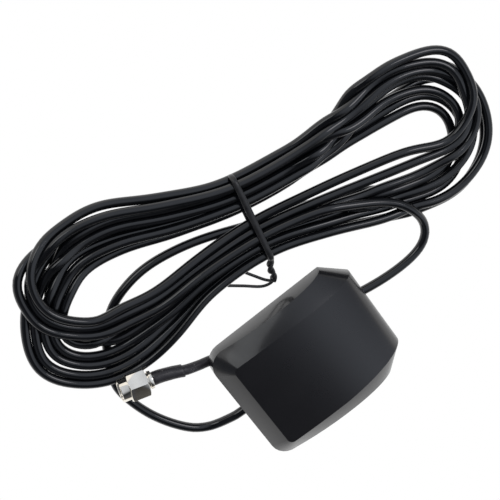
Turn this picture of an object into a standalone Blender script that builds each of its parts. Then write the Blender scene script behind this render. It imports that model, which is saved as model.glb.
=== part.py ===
"""Magnetic patch antenna with a coaxial lead, wound in a tied hank, and a screw-on coaxial plug.

The housing lies with one long side raised on the lead that runs under it. Metres, +Z up. The origin is on the
floor under the middle of the housing, +X runs from the lead's exit to the rolled nose, +Y to the raised side.
"""

import math

import bmesh
import bpy
from mathutils import Matrix, Vector

# Housing, outside. Heights are measured from its rim, drops from the crown or from the roof's edge.
HOUSING_LENGTH = 0.0507
HOUSING_WIDTH = 0.0419
CROWN_HEIGHT = 0.0112
CROWN_FROM_REAR = 0.0267
REAR_FALL = 0.0012
SIDE_CHAMFER = 0.0051
SIDE_CHAMFER_DROP = 0.0034
REAR_CHAMFER = 0.0049
REAR_WALL_CLEARANCE = 0.0002
NOSE_CUT_LENGTH = 0.0070
NOSE_CUT_WIDTH = 0.0070
RIM_HEIGHT = 0.0014
REAR_CORNER_RADIUS = 0.0056
FACE_CORNER_RADIUS = 0.0018
ROLL_POWER = 2.15
WALL = 0.0014
HOUSING_TILT = math.radians(5.9)
NOSE_LIFT = math.radians(0.65)

# Clearances
SEAT_GAP = 0.00025
FIT_GAP = 0.0003
PIN_GAP = 0.0003

# Base, foot and magnets
FOOT_THICKNESS = 0.0006
BASE_THICKNESS = 0.0020
MAGNET_RADIUS = 0.0050
MAGNET_THICKNESS = 0.0014
MAGNET_CLEARANCE = 0.0009
MAGNET_FROM_NOSE = 0.0085
MAGNET_EDGE = 0.0002
FOOT_OVERLAP = 0.0003

# Screws and their bosses
SCREW_SHANK_RADIUS = 0.0007
SCREW_HEAD_RADIUS = 0.00145
SCREW_HEAD_HEIGHT = 0.0008
SCREW_TO_CROWN = 0.0076
SCREW_DRIVE_RADIUS = 0.0007
SCREW_DRIVE_DEPTH = 0.0004
BOSS_RADIUS = 0.0020
BOSS_STANDOFF = 0.0007
BOSS_FROM_REAR = 0.0080
BOSS_FROM_NOSE = 0.0085

# Circuit board, patch and screen
BOARD_LENGTH = 0.0290
BOARD_THICKNESS = 0.0008
BOARD_MARGIN = 0.0004
POST_RADIUS = 0.0012
POST_INSET = 0.0021
PATCH_SIDE = 0.0180
PATCH_HEADROOM = 0.0011
PATCH_CORNER = 0.0012
ELECTRODE_MARGIN = 0.0016
ELECTRODE_THICKNESS = 0.0002
FEED_RADIUS = 0.0005
FEED_HEAD_RADIUS = 0.0009
FEED_HEAD_HEIGHT = 0.0003
FEED_OFFSET = 0.0016
SCREEN_LENGTH = 0.0160
SCREEN_WIDTH = 0.0140
PATCH_SHARE = 0.65
SCREEN_WALL = 0.0002
CHIP_SIDE = 0.0030
CHIP_SHARE = 0.55
CHIP_BEVEL = 0.00015

# Lead and its way out of the housing
CABLE_RADIUS = 0.0014
EXIT_SIDE = -0.0004
EXIT_HEIGHT = 0.00235
BUSH_WALL = 0.00035
BUSH_FLANGE = 0.0003
BUSH_FLANGE_LENGTH = 0.0012
COLLAR_WALL = 0.0004
COLLAR_LENGTH = 0.0024
COLLAR_FROM_END = 0.0010
CORE_RADIUS = 0.00045
CORE_REACH = 0.0040
CORE_TO_SCREEN = 0.00175

# Plug, measured along its axis from the nut's front rim
PLUG_FRONT = (-0.05025, 0.02957, 0.00685)
PLUG_HEADING = math.radians(-20.0)
PLUG_SLOPE = math.radians(5.0)
NUT_TURN = math.radians(20.0)
NUT_BARREL_RADIUS = 0.0035
NUT_BARREL_LENGTH = 0.0025
NUT_FLATS = 0.0080
NUT_HEX_LENGTH = 0.0059
NUT_CHAMFER = 0.0005
NUT_RIM_CHAMFER = 0.00015
NUT_THREAD_RADIUS = 0.00295
NUT_LIP_LENGTH = 0.0014
NUT_RUNNING_GAP = 0.00035
RING_THICKNESS = 0.0004
RING_BITE = 0.0003
RING_SLOT = 0.0006
BODY_NECK_RADIUS = 0.0024
BODY_GROOVE_DEPTH = 0.0004
BODY_FRONT = 0.0026
BODY_FRONT_RADIUS = 0.0023
BODY_SHOULDER = 0.0046
BODY_SHOULDER_LENGTH = 0.0004
BODY_BORE_RADIUS = 0.00195
FLANGE_GAP = 0.0007
FLANGE_RADIUS = 0.0028
FLANGE_LENGTH = 0.0010
STEM_RADIUS = 0.0010
STEM_LENGTH = 0.0060
INSULATOR_LENGTH = 0.0058
CONTACT_RADIUS = 0.00046
CONTACT_TIP = 0.0009
CONTACT_POINT = 0.0005
CONTACT_LENGTH = 0.0084
GASKET_LENGTH = 0.0007
FERRULE_WALL = 0.0003
BOOT_WALL = 0.0003
BOOT_LENGTH = 0.0094
BOOT_TAPER = 0.0006
TAIL_RADIUS = 0.00168
TAIL_STRAIGHT = 0.0056

# Hank and tie
HANK_HEIGHT = 0.0080
TIE_WIDTH = 0.0020
TIE_THICKNESS = 0.0006
TIE_TWIST_RADIUS = 0.0011
TIE_TAIL_RADIUS = 0.0005

# Hand-chosen points of the lead as it lies, in millimetres from the origin
HOUSING_LEAD_ROUTE = (
    (-25.75, -0.40, 4.46), (-27.40, -0.35, 4.36), (-29.50, -0.20, 3.75), (-32.30, 0.00, 2.60), (-35.40, 0.66, 1.80),
    (-38.15, 1.96, 1.42), (-40.90, 4.20, 1.42), (-43.55, 7.60, 1.42), (-46.10, 11.90, 1.42), (-48.10, 16.40, 1.42),
    (-49.55, 21.20, 1.42), (-50.40, 25.56, 1.42), (-50.80, 29.17, 1.45), (-50.70, 32.00, 1.90), (-50.15, 34.77, 2.65),
)
PLUG_LEAD_ROUTE = (
    (-20.35, 17.60, 1.65), (-17.65, 16.30, 1.50), (-14.65, 14.95, 1.42), (-9.65, 13.17, 1.42), (-4.65, 11.97, 1.42),
    (4.85, 9.67, 1.42), (14.85, 7.27, 1.42), (25.85, 4.67, 1.42), (31.35, 3.67, 1.42), (36.85, 3.17, 1.42),
    (42.35, 3.27, 1.42), (46.95, 4.07, 1.45), (50.55, 5.87, 1.70), (52.65, 8.77, 2.55), (53.35, 11.87, 3.75), (53.25, 15.52, 5.35),
)
TAIL_BEND = ((-27.50, 21.20, 3.60), (-25.30, 20.30, 2.30), (-22.90, 19.00, 1.80))
HANK_OUTLINE = (
    (-63.65, 53.47), (-60.15, 63.47), (-55.65, 72.47), (-46.15, 79.97), (-32.65, 81.97), (-19.65, 77.47), (-4.65, 68.97),
    (13.95, 59.87), (36.35, 55.67), (59.35, 56.07), (76.35, 57.47), (86.85, 52.97), (92.35, 42.47), (91.85, 30.47),
    (85.35, 19.47), (74.85, 13.47), (61.35, 13.87), (45.35, 19.07), (30.35, 25.27), (18.85, 30.27), (9.05, 34.37),
    (-2.95, 35.07), (-17.65, 32.47), (-32.65, 31.47), (-46.65, 33.97), (-56.65, 39.47), (-62.15, 45.97),
)
HANK_OPENINGS = (
    ((15.35, 47.67), (26.35, 49.27), (42.35, 48.07), (58.35, 45.07), (68.35, 40.07), (70.85, 36.07), (59.35, 36.07), (43.35, 39.27), (27.35, 43.47)),
    ((-37.65, 57.27), (-29.65, 58.87), (-19.65, 56.27), (-7.65, 51.87), (-9.65, 49.67), (-20.65, 51.27), (-31.65, 53.87)),
)
TIE_NEAR = (8.95, 33.77)
TIE_FAR = (14.05, 60.47)
TIE_TWIST_ROUTE = ((8.55, 31.77, 4.75), (7.85, 30.07, 4.55), (7.25, 28.37, 4.05), (6.65, 26.87, 3.35), (6.05, 25.87, 2.75))
TIE_LONG_ROUTE = ((5.80, 25.47, 2.45), (5.25, 24.77, 1.90), (4.25, 24.57, 1.35), (2.35, 25.57, 0.95), (-1.65, 28.77, 0.85), (-6.05, 32.07, 0.85))
TIE_SHORT_ROUTE = ((4.65, 26.67, 2.75), (3.55, 28.27, 2.35), (2.35, 30.47, 1.75), (1.35, 32.27, 1.35))

ROLL_STEPS = 16
CROWN_STEPS = 6
CORNER_STEPS = 6
ROUND_STEPS = 32
SMALL_STEPS = 20
LEAD_SPACING = 0.0035
TAIL_SPACING = 0.0016
THIN_SPACING = 0.0008
OUTLINE_SPACING = 0.0050
MM = 0.001
SLACK = 0.001

REAR = -HOUSING_LENGTH / 2
NOSE = HOUSING_LENGTH / 2
SIDE = HOUSING_WIDTH / 2
CROWN = REAR + CROWN_FROM_REAR
BASE_BOTTOM = FOOT_THICKNESS + SEAT_GAP
BASE_TOP = BASE_BOTTOM + BASE_THICKNESS
SCREEN_BOTTOM = BASE_TOP + SEAT_GAP
ROOF_SPACE = CROWN_HEIGHT - WALL - PATCH_HEADROOM - SCREEN_BOTTOM - BOARD_THICKNESS - 2 * SEAT_GAP
SCREEN_HEIGHT = (1 - PATCH_SHARE) * ROOF_SPACE
CHIP_HEIGHT = CHIP_SHARE * SCREEN_HEIGHT
BOARD_BOTTOM = SCREEN_BOTTOM + SCREEN_HEIGHT + SEAT_GAP
BOARD_TOP = BOARD_BOTTOM + BOARD_THICKNESS
PATCH_BOTTOM = BOARD_TOP + SEAT_GAP
PATCH_TOP = CROWN_HEIGHT - WALL - PATCH_HEADROOM
PATCH_THICKNESS = PATCH_TOP - PATCH_BOTTOM
SCREW_LENGTH = CROWN_HEIGHT - SCREW_TO_CROWN
ELECTRODE_BOTTOM = PATCH_TOP + SEAT_GAP
ELECTRODE_TOP = ELECTRODE_BOTTOM + ELECTRODE_THICKNESS
BOSS_SIDE = SIDE - WALL - BOSS_STANDOFF - BOSS_RADIUS
BOSS_PLACES = [(x, y) for x in (REAR + BOSS_FROM_REAR, NOSE - BOSS_FROM_NOSE) for y in (-BOSS_SIDE, BOSS_SIDE)]
BOARD_WIDTH = 2 * (BOSS_SIDE - BOSS_RADIUS - BOARD_MARGIN)
SCREW_HOLE_RADIUS = SCREW_SHANK_RADIUS + PIN_GAP
HEAD_RECESS_RADIUS = SCREW_HEAD_RADIUS + PIN_GAP
HEAD_RECESS_DEPTH = SCREW_HEAD_HEIGHT + FIT_GAP
BUSH_BORE = CABLE_RADIUS + SEAT_GAP
BUSH_NECK = BUSH_BORE + BUSH_WALL
BUSH_RIM = BUSH_NECK + BUSH_FLANGE
BUSH_SLOT = BUSH_NECK + SEAT_GAP
REAR_CHAMFER_DROP = CROWN_HEIGHT - REAR_FALL - EXIT_HEIGHT - BUSH_SLOT - REAR_WALL_CLEARANCE
FLANGE_START = REAR + WALL + SEAT_GAP
FLANGE_END = FLANGE_START + BUSH_FLANGE_LENGTH
CORE_RISE = -SCREEN_LENGTH / 2 - CORE_TO_SCREEN - CORE_RADIUS
CORE_START = CORE_RISE - CORE_REACH / 2
INNER_LEAD_END = CORE_START - SEAT_GAP
NOTCH_END = CORE_RISE + CORE_RADIUS + FIT_GAP
MAGNET_REAR = NOTCH_END + MAGNET_CLEARANCE + MAGNET_RADIUS
MAGNET_FRONT = NOSE - MAGNET_FROM_NOSE - MAGNET_RADIUS
FOOT_HALF_WIDTH = MAGNET_RADIUS + FOOT_OVERLAP
NUT_CORNER_RADIUS = NUT_FLATS / math.sqrt(3)
NUT_LENGTH = NUT_BARREL_LENGTH + NUT_HEX_LENGTH
NUT_LIP_RADIUS = BODY_NECK_RADIUS + NUT_RUNNING_GAP
RING_OUTER = NUT_LIP_RADIUS + RING_BITE
RING_BACK = NUT_LENGTH - NUT_LIP_LENGTH - SEAT_GAP
RING_FRONT = RING_BACK - RING_THICKNESS
GROOVE_RADIUS = BODY_NECK_RADIUS - BODY_GROOVE_DEPTH
RING_INNER = GROOVE_RADIUS + SEAT_GAP
FLANGE_FRONT = NUT_LENGTH + FLANGE_GAP
FLANGE_BACK = FLANGE_FRONT + FLANGE_LENGTH
INSULATOR_RADIUS = BODY_BORE_RADIUS - SEAT_GAP
CONTACT_BORE = CONTACT_RADIUS + SEAT_GAP
FERRULE_INNER = STEM_RADIUS + SEAT_GAP
FERRULE_OUTER = FERRULE_INNER + FERRULE_WALL
FERRULE_FRONT = FLANGE_BACK + SEAT_GAP
BOOT_INNER = max(FERRULE_OUTER, TAIL_RADIUS) + SEAT_GAP / 2
BOOT_OUTER = BOOT_INNER + BOOT_WALL
BOOT_FRONT = FLANGE_BACK + SEAT_GAP
TAIL_START = FLANGE_BACK + STEM_LENGTH + SEAT_GAP


def clear_scene():
    for obj in list(bpy.data.objects):
        bpy.data.objects.remove(obj, do_unlink=True)


def make_collection(name, hidden=False):
    group = bpy.data.collections.new(name)
    bpy.context.scene.collection.children.link(group)
    group.hide_render = hidden
    return group


def make_material(name, colour, roughness, metallic=0.0):
    material = bpy.data.materials.new(name)
    material.use_nodes = True
    shader = material.node_tree.nodes["Principled BSDF"]
    shader.inputs["Base Color"].default_value = (*colour, 1.0)
    shader.inputs["Roughness"].default_value = roughness
    shader.inputs["Metallic"].default_value = metallic
    material.diffuse_color = (*colour, 1.0)
    return material


def make_empty(name, matrix):
    empty = bpy.data.objects.new(name, None)
    parts.objects.link(empty)
    empty.matrix_world = matrix
    return empty


def add_object(name, data, material=None, parent=None, cutter=False, smooth=False):
    """Links a new object, parented to a frame whose axes its mesh is drawn in."""
    obj = bpy.data.objects.new(name, data)
    (cutters if cutter else parts).objects.link(obj)
    if cutter:
        obj.hide_render = True
        obj.display_type = "WIRE"
    if material:
        obj.data.materials.append(material)
    if parent:
        obj.parent = parent
    if smooth and obj.type == "MESH":
        obj.data.shade_smooth()
        obj.data.set_sharp_from_angle(angle=math.radians(35))
    return obj


def mesh_from(bm, name):
    mesh = bpy.data.meshes.new(name)
    bm.to_mesh(mesh)
    bm.free()
    return mesh


def box_mesh(name, boxes):
    """One mesh with a box for each (centre, size)."""
    bm = bmesh.new()
    for centre, size in boxes:
        matrix = Matrix.Translation(centre) @ Matrix.Diagonal((*size, 1.0))
        bmesh.ops.create_cube(bm, size=1.0, matrix=matrix)
    return mesh_from(bm, name)


def cylinder_mesh(name, cylinders, steps=SMALL_STEPS, axis="Z"):
    """One mesh with a cylinder for each (centre, radius, length)."""
    turn = Matrix.Rotation(math.radians(90), 4, "Y") if axis == "X" else Matrix.Identity(4)
    bm = bmesh.new()
    for centre, radius, length in cylinders:
        bmesh.ops.create_cone(
            bm, cap_ends=True, segments=steps, radius1=radius, radius2=radius, depth=length,
            matrix=Matrix.Translation(centre) @ turn,
        )
    return mesh_from(bm, name)


def turned(name, profile, material, parent, closed=True, steps=ROUND_STEPS, axis="Z"):
    """Turns (radius, height) points about the frame's Z, or lays that axis along its X."""
    mesh = bpy.data.meshes.new(name)
    edges = [(i, i + 1) for i in range(len(profile) - 1)]
    if closed:
        edges.append((len(profile) - 1, 0))
    mesh.from_pydata([(r, 0.0, z) for r, z in profile], edges, [])
    obj = add_object(name, mesh, material, parent)
    if axis == "X":
        obj.rotation_euler = (0.0, math.radians(90), 0.0)
    screw = obj.modifiers.new("Turn", "SCREW")
    screw.axis = "Z"
    screw.steps = steps
    screw.render_steps = steps
    screw.use_merge_vertices = True
    screw.merge_threshold = 0.00001
    screw.use_smooth_shade = True
    return obj


def ring_profile(inner, outer, start, end):
    return [(outer, end), (outer, start), (inner, start), (inner, end)]


def smooth_route(points, spacing, closed=False):
    """Points at even spacing on a smooth curve through the given ones."""
    knots = [Vector(p) for p in points]
    count = len(knots)
    dense = []
    for i in range(count if closed else count - 1):
        if closed:
            a, b, c, d = (knots[(i + k) % count] for k in (-1, 0, 1, 2))
        else:
            b, c = knots[i], knots[i + 1]
            a = knots[i - 1] if i else b + (b - c)
            d = knots[i + 2] if i + 2 < count else c + (c - b)
        for step in range(12):
            t = step / 12
            dense.append(
                0.5 * (2 * b + (c - a) * t + (2 * a - 5 * b + 4 * c - d) * t ** 2 + (3 * b - a - 3 * c + d) * t ** 3)
            )
    dense.append(knots[0].copy() if closed else knots[-1])
    travelled = [0.0]
    for a, b in zip(dense, dense[1:]):
        travelled.append(travelled[-1] + (b - a).length)
    total = travelled[-1]
    pieces = max(2, round(total / spacing))
    route = []
    at = 0
    for k in range(pieces + (0 if closed else 1)):
        goal = total * k / pieces
        while at < len(dense) - 2 and travelled[at + 1] < goal:
            at += 1
        span = travelled[at + 1] - travelled[at]
        route.append(dense[at].lerp(dense[at + 1], (goal - travelled[at]) / span if span else 0.0))
    return route


def tube(name, points, radius, spacing, material, parent=None):
    """A round cord along a smooth curve through the points, with flat ends."""
    curve = bpy.data.curves.new(name, "CURVE")
    curve.dimensions = "3D"
    curve.bevel_depth = radius
    curve.bevel_resolution = 2
    curve.use_fill_caps = True
    route = smooth_route(points, spacing)
    spline = curve.splines.new("POLY")
    spline.points.add(len(route) - 1)
    for point, place in zip(spline.points, route):
        point.co = (*place, 1.0)
    return add_object(name, curve, material, parent)


def outline_curve(name, outlines, thickness):
    """A flat plate of the outlines' shape, the later outlines being openings in the first."""
    curve = bpy.data.curves.new(name, "CURVE")
    curve.dimensions = "2D"
    curve.fill_mode = "BOTH"
    curve.extrude = thickness / 2
    for outline in outlines:
        spline = curve.splines.new("POLY")
        spline.points.add(len(outline) - 1)
        for point, place in zip(spline.points, outline):
            point.co = (place[0], place[1], 0.0, 1.0)
        spline.use_cyclic_u = True
    return curve


def plate_mesh(name, outline, bottom, top):
    """The plate between two heights as a welded mesh, ready to be cut."""
    helper = bpy.data.objects.new(name + "_outline", outline_curve(name, [outline], top - bottom))
    parts.objects.link(helper)
    graph = bpy.context.evaluated_depsgraph_get()
    mesh = bpy.data.meshes.new_from_object(helper.evaluated_get(graph))
    bpy.data.objects.remove(helper, do_unlink=True)
    bm = bmesh.new()
    bm.from_mesh(mesh)
    bmesh.ops.remove_doubles(bm, verts=bm.verts, dist=0.00001)
    bmesh.ops.translate(bm, verts=bm.verts, vec=(0.0, 0.0, (bottom + top) / 2))
    bm.to_mesh(mesh)
    bm.free()
    return mesh


def cut(obj, cutter, operation="DIFFERENCE"):
    boolean = obj.modifiers.new(cutter.name, "BOOLEAN")
    boolean.operation = operation
    boolean.solver = "EXACT"
    boolean.object = cutter


def bevel(obj, width, segments=2, angle=40.0):
    edge = obj.modifiers.new("Edge", "BEVEL")
    edge.width = width
    edge.segments = segments
    edge.limit_method = "ANGLE"
    edge.angle_limit = math.radians(angle)


def roof_height(x):
    """Height of the roof's crown line at x, behind the crown."""
    run = CROWN - (REAR + REAR_CHAMFER)
    return CROWN_HEIGHT - REAR_FALL * ((CROWN - x) / run) ** 2


def wall_height(x):
    """Height of the side wall at x, behind the crown. It meets the rear wall at the rounded corner."""
    high = CROWN_HEIGHT - SIDE_CHAMFER_DROP
    low = CROWN_HEIGHT - REAR_FALL - REAR_CHAMFER_DROP
    share = min(1.0, (CROWN - x) / (CROWN - REAR - REAR_CORNER_RADIUS))
    return high - (high - low) * share ** 2


def roll(angle, reach, height):
    """A point of the roll from the rim up to the crown, for an angle that falls from 90 degrees to 0."""
    forward = max(0.0, math.sin(angle)) ** (2 / ROLL_POWER)
    upward = max(0.0, math.cos(angle)) ** (2 / ROLL_POWER)
    return CROWN + reach * forward, RIM_HEIGHT + (height - RIM_HEIGHT) * upward


def housing_stations():
    """Pairs of (roof edge, wall top) from the nose, over one long side and round the rear corner to the middle."""
    pairs = [((NOSE, SIDE - NOSE_CUT_WIDTH, 0.0), (NOSE - NOSE_CUT_LENGTH, SIDE, 0.0))]
    for step in range(ROLL_STEPS + 1):
        share = 1 - step / ROLL_STEPS
        angle = math.radians(90) * share
        x, z = roll(angle, NOSE - CROWN, CROWN_HEIGHT)
        u, w = roll(angle, NOSE - NOSE_CUT_LENGTH - CROWN, CROWN_HEIGHT - SIDE_CHAMFER_DROP)
        inward = SIDE_CHAMFER + (NOSE_CUT_WIDTH - SIDE_CHAMFER) * share
        pairs.append(((x, SIDE - inward, z), (u, SIDE, w)))
    edge = SIDE - SIDE_CHAMFER
    face_x = REAR + REAR_CHAMFER + FACE_CORNER_RADIUS
    wall_x = REAR + REAR_CORNER_RADIUS
    for step in range(1, CROWN_STEPS + 1):
        share = step / CROWN_STEPS
        x = CROWN + (face_x - CROWN) * share
        u = CROWN + (wall_x - CROWN) * share
        pairs.append(((x, edge, roof_height(x)), (u, SIDE, wall_height(u))))
    for step in range(1, CORNER_STEPS + 1):
        angle = math.radians(90) * step / CORNER_STEPS
        x = face_x - FACE_CORNER_RADIUS * math.sin(angle)
        y = edge - FACE_CORNER_RADIUS * (1 - math.cos(angle))
        u = wall_x - REAR_CORNER_RADIUS * math.sin(angle)
        v = SIDE - REAR_CORNER_RADIUS * (1 - math.cos(angle))
        pairs.append(((x, y, roof_height(x)), (u, v, wall_height(u))))
    pairs.append(((face_x - FACE_CORNER_RADIUS, 0.0, pairs[-1][0][2]), (REAR, 0.0, pairs[-1][1][2])))
    return pairs


def housing_half(name, with_floor):
    """The outer skin of the half on the +Y side, open at the middle plane: roof, chamfer and wall strips."""
    bm = bmesh.new()
    made = {}

    def vertex(place):
        key = tuple(round(value, 7) for value in place)
        if key not in made:
            made[key] = bm.verts.new(place)
        return made[key]

    def face(*places):
        corners = []
        for place in places:
            corner = vertex(place)
            if corner not in corners:
                corners.append(corner)
        if len(corners) > 2:
            bm.faces.new(corners)

    rows = []
    for roof, wall in housing_stations():
        rows.append(((roof[0], 0.0, roof[2]), roof, wall, (wall[0], wall[1], 0.0)))
    for near, far in zip(rows, rows[1:]):
        for k in range(3):
            face(near[k], near[k + 1], far[k + 1], far[k])
    if with_floor:
        floor = [rows[0][0], rows[0][1]] + [row[3] for row in rows]
        face(*floor)
    bmesh.ops.recalc_face_normals(bm, faces=bm.faces)
    top = max(bm.faces, key=lambda f: f.calc_center_median().z)
    if top.normal.z < 0:
        bmesh.ops.reverse_faces(bm, faces=bm.faces)
    return mesh_from(bm, name)


def mirrored(obj):
    mirror = obj.modifiers.new("Other side", "MIRROR")
    mirror.use_axis = (False, True, False)
    mirror.use_mirror_merge = True
    mirror.merge_threshold = 0.00001


def plan_outline(inset):
    """The rim's outline seen from above, moved inwards by the inset."""
    x_nose, side, rear = NOSE - inset, SIDE - inset, REAR + inset
    along = Vector((NOSE_CUT_LENGTH, -NOSE_CUT_WIDTH)).normalized()
    across = Vector((along.y, -along.x))
    start = Vector((NOSE - NOSE_CUT_LENGTH, SIDE)) + (across if across.x < 0 else -across) * inset
    side_end = start + along * ((side - start.y) / along.y)
    nose_end = start + along * ((x_nose - start.x) / along.x)
    radius = REAR_CORNER_RADIUS - inset
    half = [tuple(nose_end), tuple(side_end)]
    for step in range(CORNER_STEPS + 1):
        angle = math.radians(90) * step / CORNER_STEPS
        half.append((rear + radius * (1 - math.sin(angle)), side - radius * (1 - math.cos(angle))))
    return half + [(x, -y) for x, y in reversed(half)]


def housing_matrix():
    """Lies the housing on its low corner, with its outer box centred over the origin."""
    turn = Matrix.Rotation(HOUSING_TILT, 4, "X")
    turn = Matrix.Rotation(-NOSE_LIFT, 4, "Y") @ turn
    places = []
    for roof, wall in housing_stations():
        for x, y, z in (roof, wall, (wall[0], wall[1], 0.0)):
            places += [turn @ Vector((x, y, z)), turn @ Vector((x, -y, z))]
    low = [min(p[k] for p in places) for k in range(3)]
    high = [max(p[k] for p in places) for k in range(3)]
    return Matrix.Translation((-(low[0] + high[0]) / 2, -(low[1] + high[1]) / 2, -low[2])) @ turn


def build_cover(frame, material):
    cover = add_object("top_cover", housing_half("top_cover", False), material, frame, smooth=True)
    mirrored(cover)
    shell = cover.modifiers.new("Shell", "SOLIDIFY")
    shell.thickness = WALL
    shell.offset = -1.0
    shell.use_even_offset = True
    shell.use_quality_normals = True

    core = add_object("roof_core", housing_half("roof_core", True), None, frame, cutter=True)
    core.location = (0.0, 0.0, -WALL / 2)
    mirrored(core)
    low = BASE_TOP + FIT_GAP
    columns = [((x, y, low + CROWN_HEIGHT / 2), BOSS_RADIUS, CROWN_HEIGHT) for x, y in BOSS_PLACES]
    bosses = add_object("boss_columns", cylinder_mesh("boss_columns", columns), None, frame, cutter=True)
    cut(bosses, core, "INTERSECT")
    cut(cover, bosses, "UNION")

    reach = SCREW_LENGTH - (BASE_THICKNESS - HEAD_RECESS_DEPTH) + FIT_GAP
    pilots = [((x, y, low + (reach - SLACK) / 2), SCREW_HOLE_RADIUS, reach + SLACK) for x, y in BOSS_PLACES]
    cut(cover, add_object("pilot_holes", cylinder_mesh("pilot_holes", pilots, 12), None, frame, cutter=True))

    slot = cylinder_mesh("exit_slot", [((REAR, EXIT_SIDE, EXIT_HEIGHT), BUSH_SLOT, 4 * WALL)], SMALL_STEPS, "X")
    cut(cover, add_object("exit_slot", slot, None, frame, cutter=True))
    foot = box_mesh(
        "exit_slot_foot",
        [((REAR, EXIT_SIDE, (EXIT_HEIGHT - SLACK) / 2), (4 * WALL, 2 * BUSH_SLOT, EXIT_HEIGHT + SLACK))],
    )
    cut(cover, add_object("exit_slot_foot", foot, None, frame, cutter=True))
    return cover


def foot_outline():
    """Long pad with round ends that covers both magnets."""
    points = []
    for middle, start in ((MAGNET_FRONT, -math.pi / 2), (MAGNET_REAR, math.pi / 2)):
        for step in range(SMALL_STEPS + 1):
            angle = start + math.pi * step / SMALL_STEPS
            points.append((middle + FOOT_HALF_WIDTH * math.cos(angle), FOOT_HALF_WIDTH * math.sin(angle)))
    return points


def build_base(frame, plastic, rubber, magnet_metal, screw_metal):
    outline = plan_outline(WALL + FIT_GAP)
    add_object("foot_pad", plate_mesh("foot_pad", foot_outline(), 0.0, FOOT_THICKNESS), rubber, frame)
    base = add_object("base_plate", plate_mesh("base_plate", outline, BASE_BOTTOM, BASE_TOP), plastic, frame)

    post_x, post_y = BOARD_LENGTH / 2 - POST_INSET, BOARD_WIDTH / 2 - POST_INSET
    tall = BOARD_BOTTOM - SEAT_GAP - BASE_TOP + BASE_THICKNESS / 2
    posts = [
        ((x, y, BASE_TOP - BASE_THICKNESS / 2 + tall / 2), POST_RADIUS, tall)
        for x in (-post_x, post_x) for y in (-post_y, post_y)
    ]
    cut(base, add_object("board_posts", cylinder_mesh("board_posts", posts), None, frame, cutter=True), "UNION")

    notch = box_mesh(
        "lead_notch",
        [(
            ((REAR + NOTCH_END - SLACK) / 2, EXIT_SIDE, BASE_TOP / 2),
            (NOTCH_END - REAR + SLACK, 2 * (BUSH_RIM + FIT_GAP), BASE_TOP + 2 * SLACK),
        )],
    )
    notch_cutter = add_object("lead_notch", notch, None, frame, cutter=True)
    cut(base, notch_cutter)

    magnet_places = [MAGNET_REAR, MAGNET_FRONT]
    pocket = MAGNET_THICKNESS + SEAT_GAP
    pockets = [
        ((x, 0.0, BASE_BOTTOM + (pocket - SLACK) / 2), MAGNET_RADIUS + FIT_GAP, pocket + SLACK) for x in magnet_places
    ]
    cut(base, add_object("magnet_pockets", cylinder_mesh("magnet_pockets", pockets, 32), None, frame, cutter=True))
    for name, x in zip(("magnet_rear", "magnet_front"), magnet_places):
        bottom = BASE_BOTTOM
        disc = cylinder_mesh(name, [((0.0, 0.0, 0.0), MAGNET_RADIUS, MAGNET_THICKNESS)], 32)
        magnet = add_object(name, disc, magnet_metal, frame, smooth=True)
        magnet.location = (x, 0.0, bottom + MAGNET_THICKNESS / 2)
        bevel(magnet, MAGNET_EDGE, 1)

    through = [((x, y, BASE_TOP - BASE_THICKNESS / 2), SCREW_HOLE_RADIUS, 2 * BASE_THICKNESS) for x, y in BOSS_PLACES]
    cut(base, add_object("screw_holes", cylinder_mesh("screw_holes", through, 12), None, frame, cutter=True))
    recess = [
        ((x, y, BASE_BOTTOM + (HEAD_RECESS_DEPTH - SLACK) / 2), HEAD_RECESS_RADIUS, HEAD_RECESS_DEPTH + SLACK)
        for x, y in BOSS_PLACES
    ]
    cut(base, add_object("head_recesses", cylinder_mesh("head_recesses", recess), None, frame, cutter=True))

    head_top = BASE_BOTTOM + HEAD_RECESS_DEPTH - SEAT_GAP
    profile = [
        (0.0, head_top + SCREW_LENGTH),
        (SCREW_SHANK_RADIUS / 2, head_top + SCREW_LENGTH),
        (SCREW_SHANK_RADIUS, head_top + SCREW_LENGTH - SCREW_SHANK_RADIUS),
        (SCREW_SHANK_RADIUS, head_top),
        (SCREW_HEAD_RADIUS, head_top),
        (SCREW_HEAD_RADIUS, head_top - SCREW_HEAD_HEIGHT / 2),
        (SCREW_DRIVE_RADIUS, head_top - SCREW_HEAD_HEIGHT),
        (SCREW_DRIVE_RADIUS, head_top - SCREW_HEAD_HEIGHT + SCREW_DRIVE_DEPTH),
        (0.0, head_top - SCREW_HEAD_HEIGHT + SCREW_DRIVE_DEPTH),
    ]
    for number, (x, y) in enumerate(BOSS_PLACES, 1):
        screw = turned(f"base_screw_{number}", profile, screw_metal, frame, closed=False, steps=12)
        screw.location = (x, y, 0.0)
    return base


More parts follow.
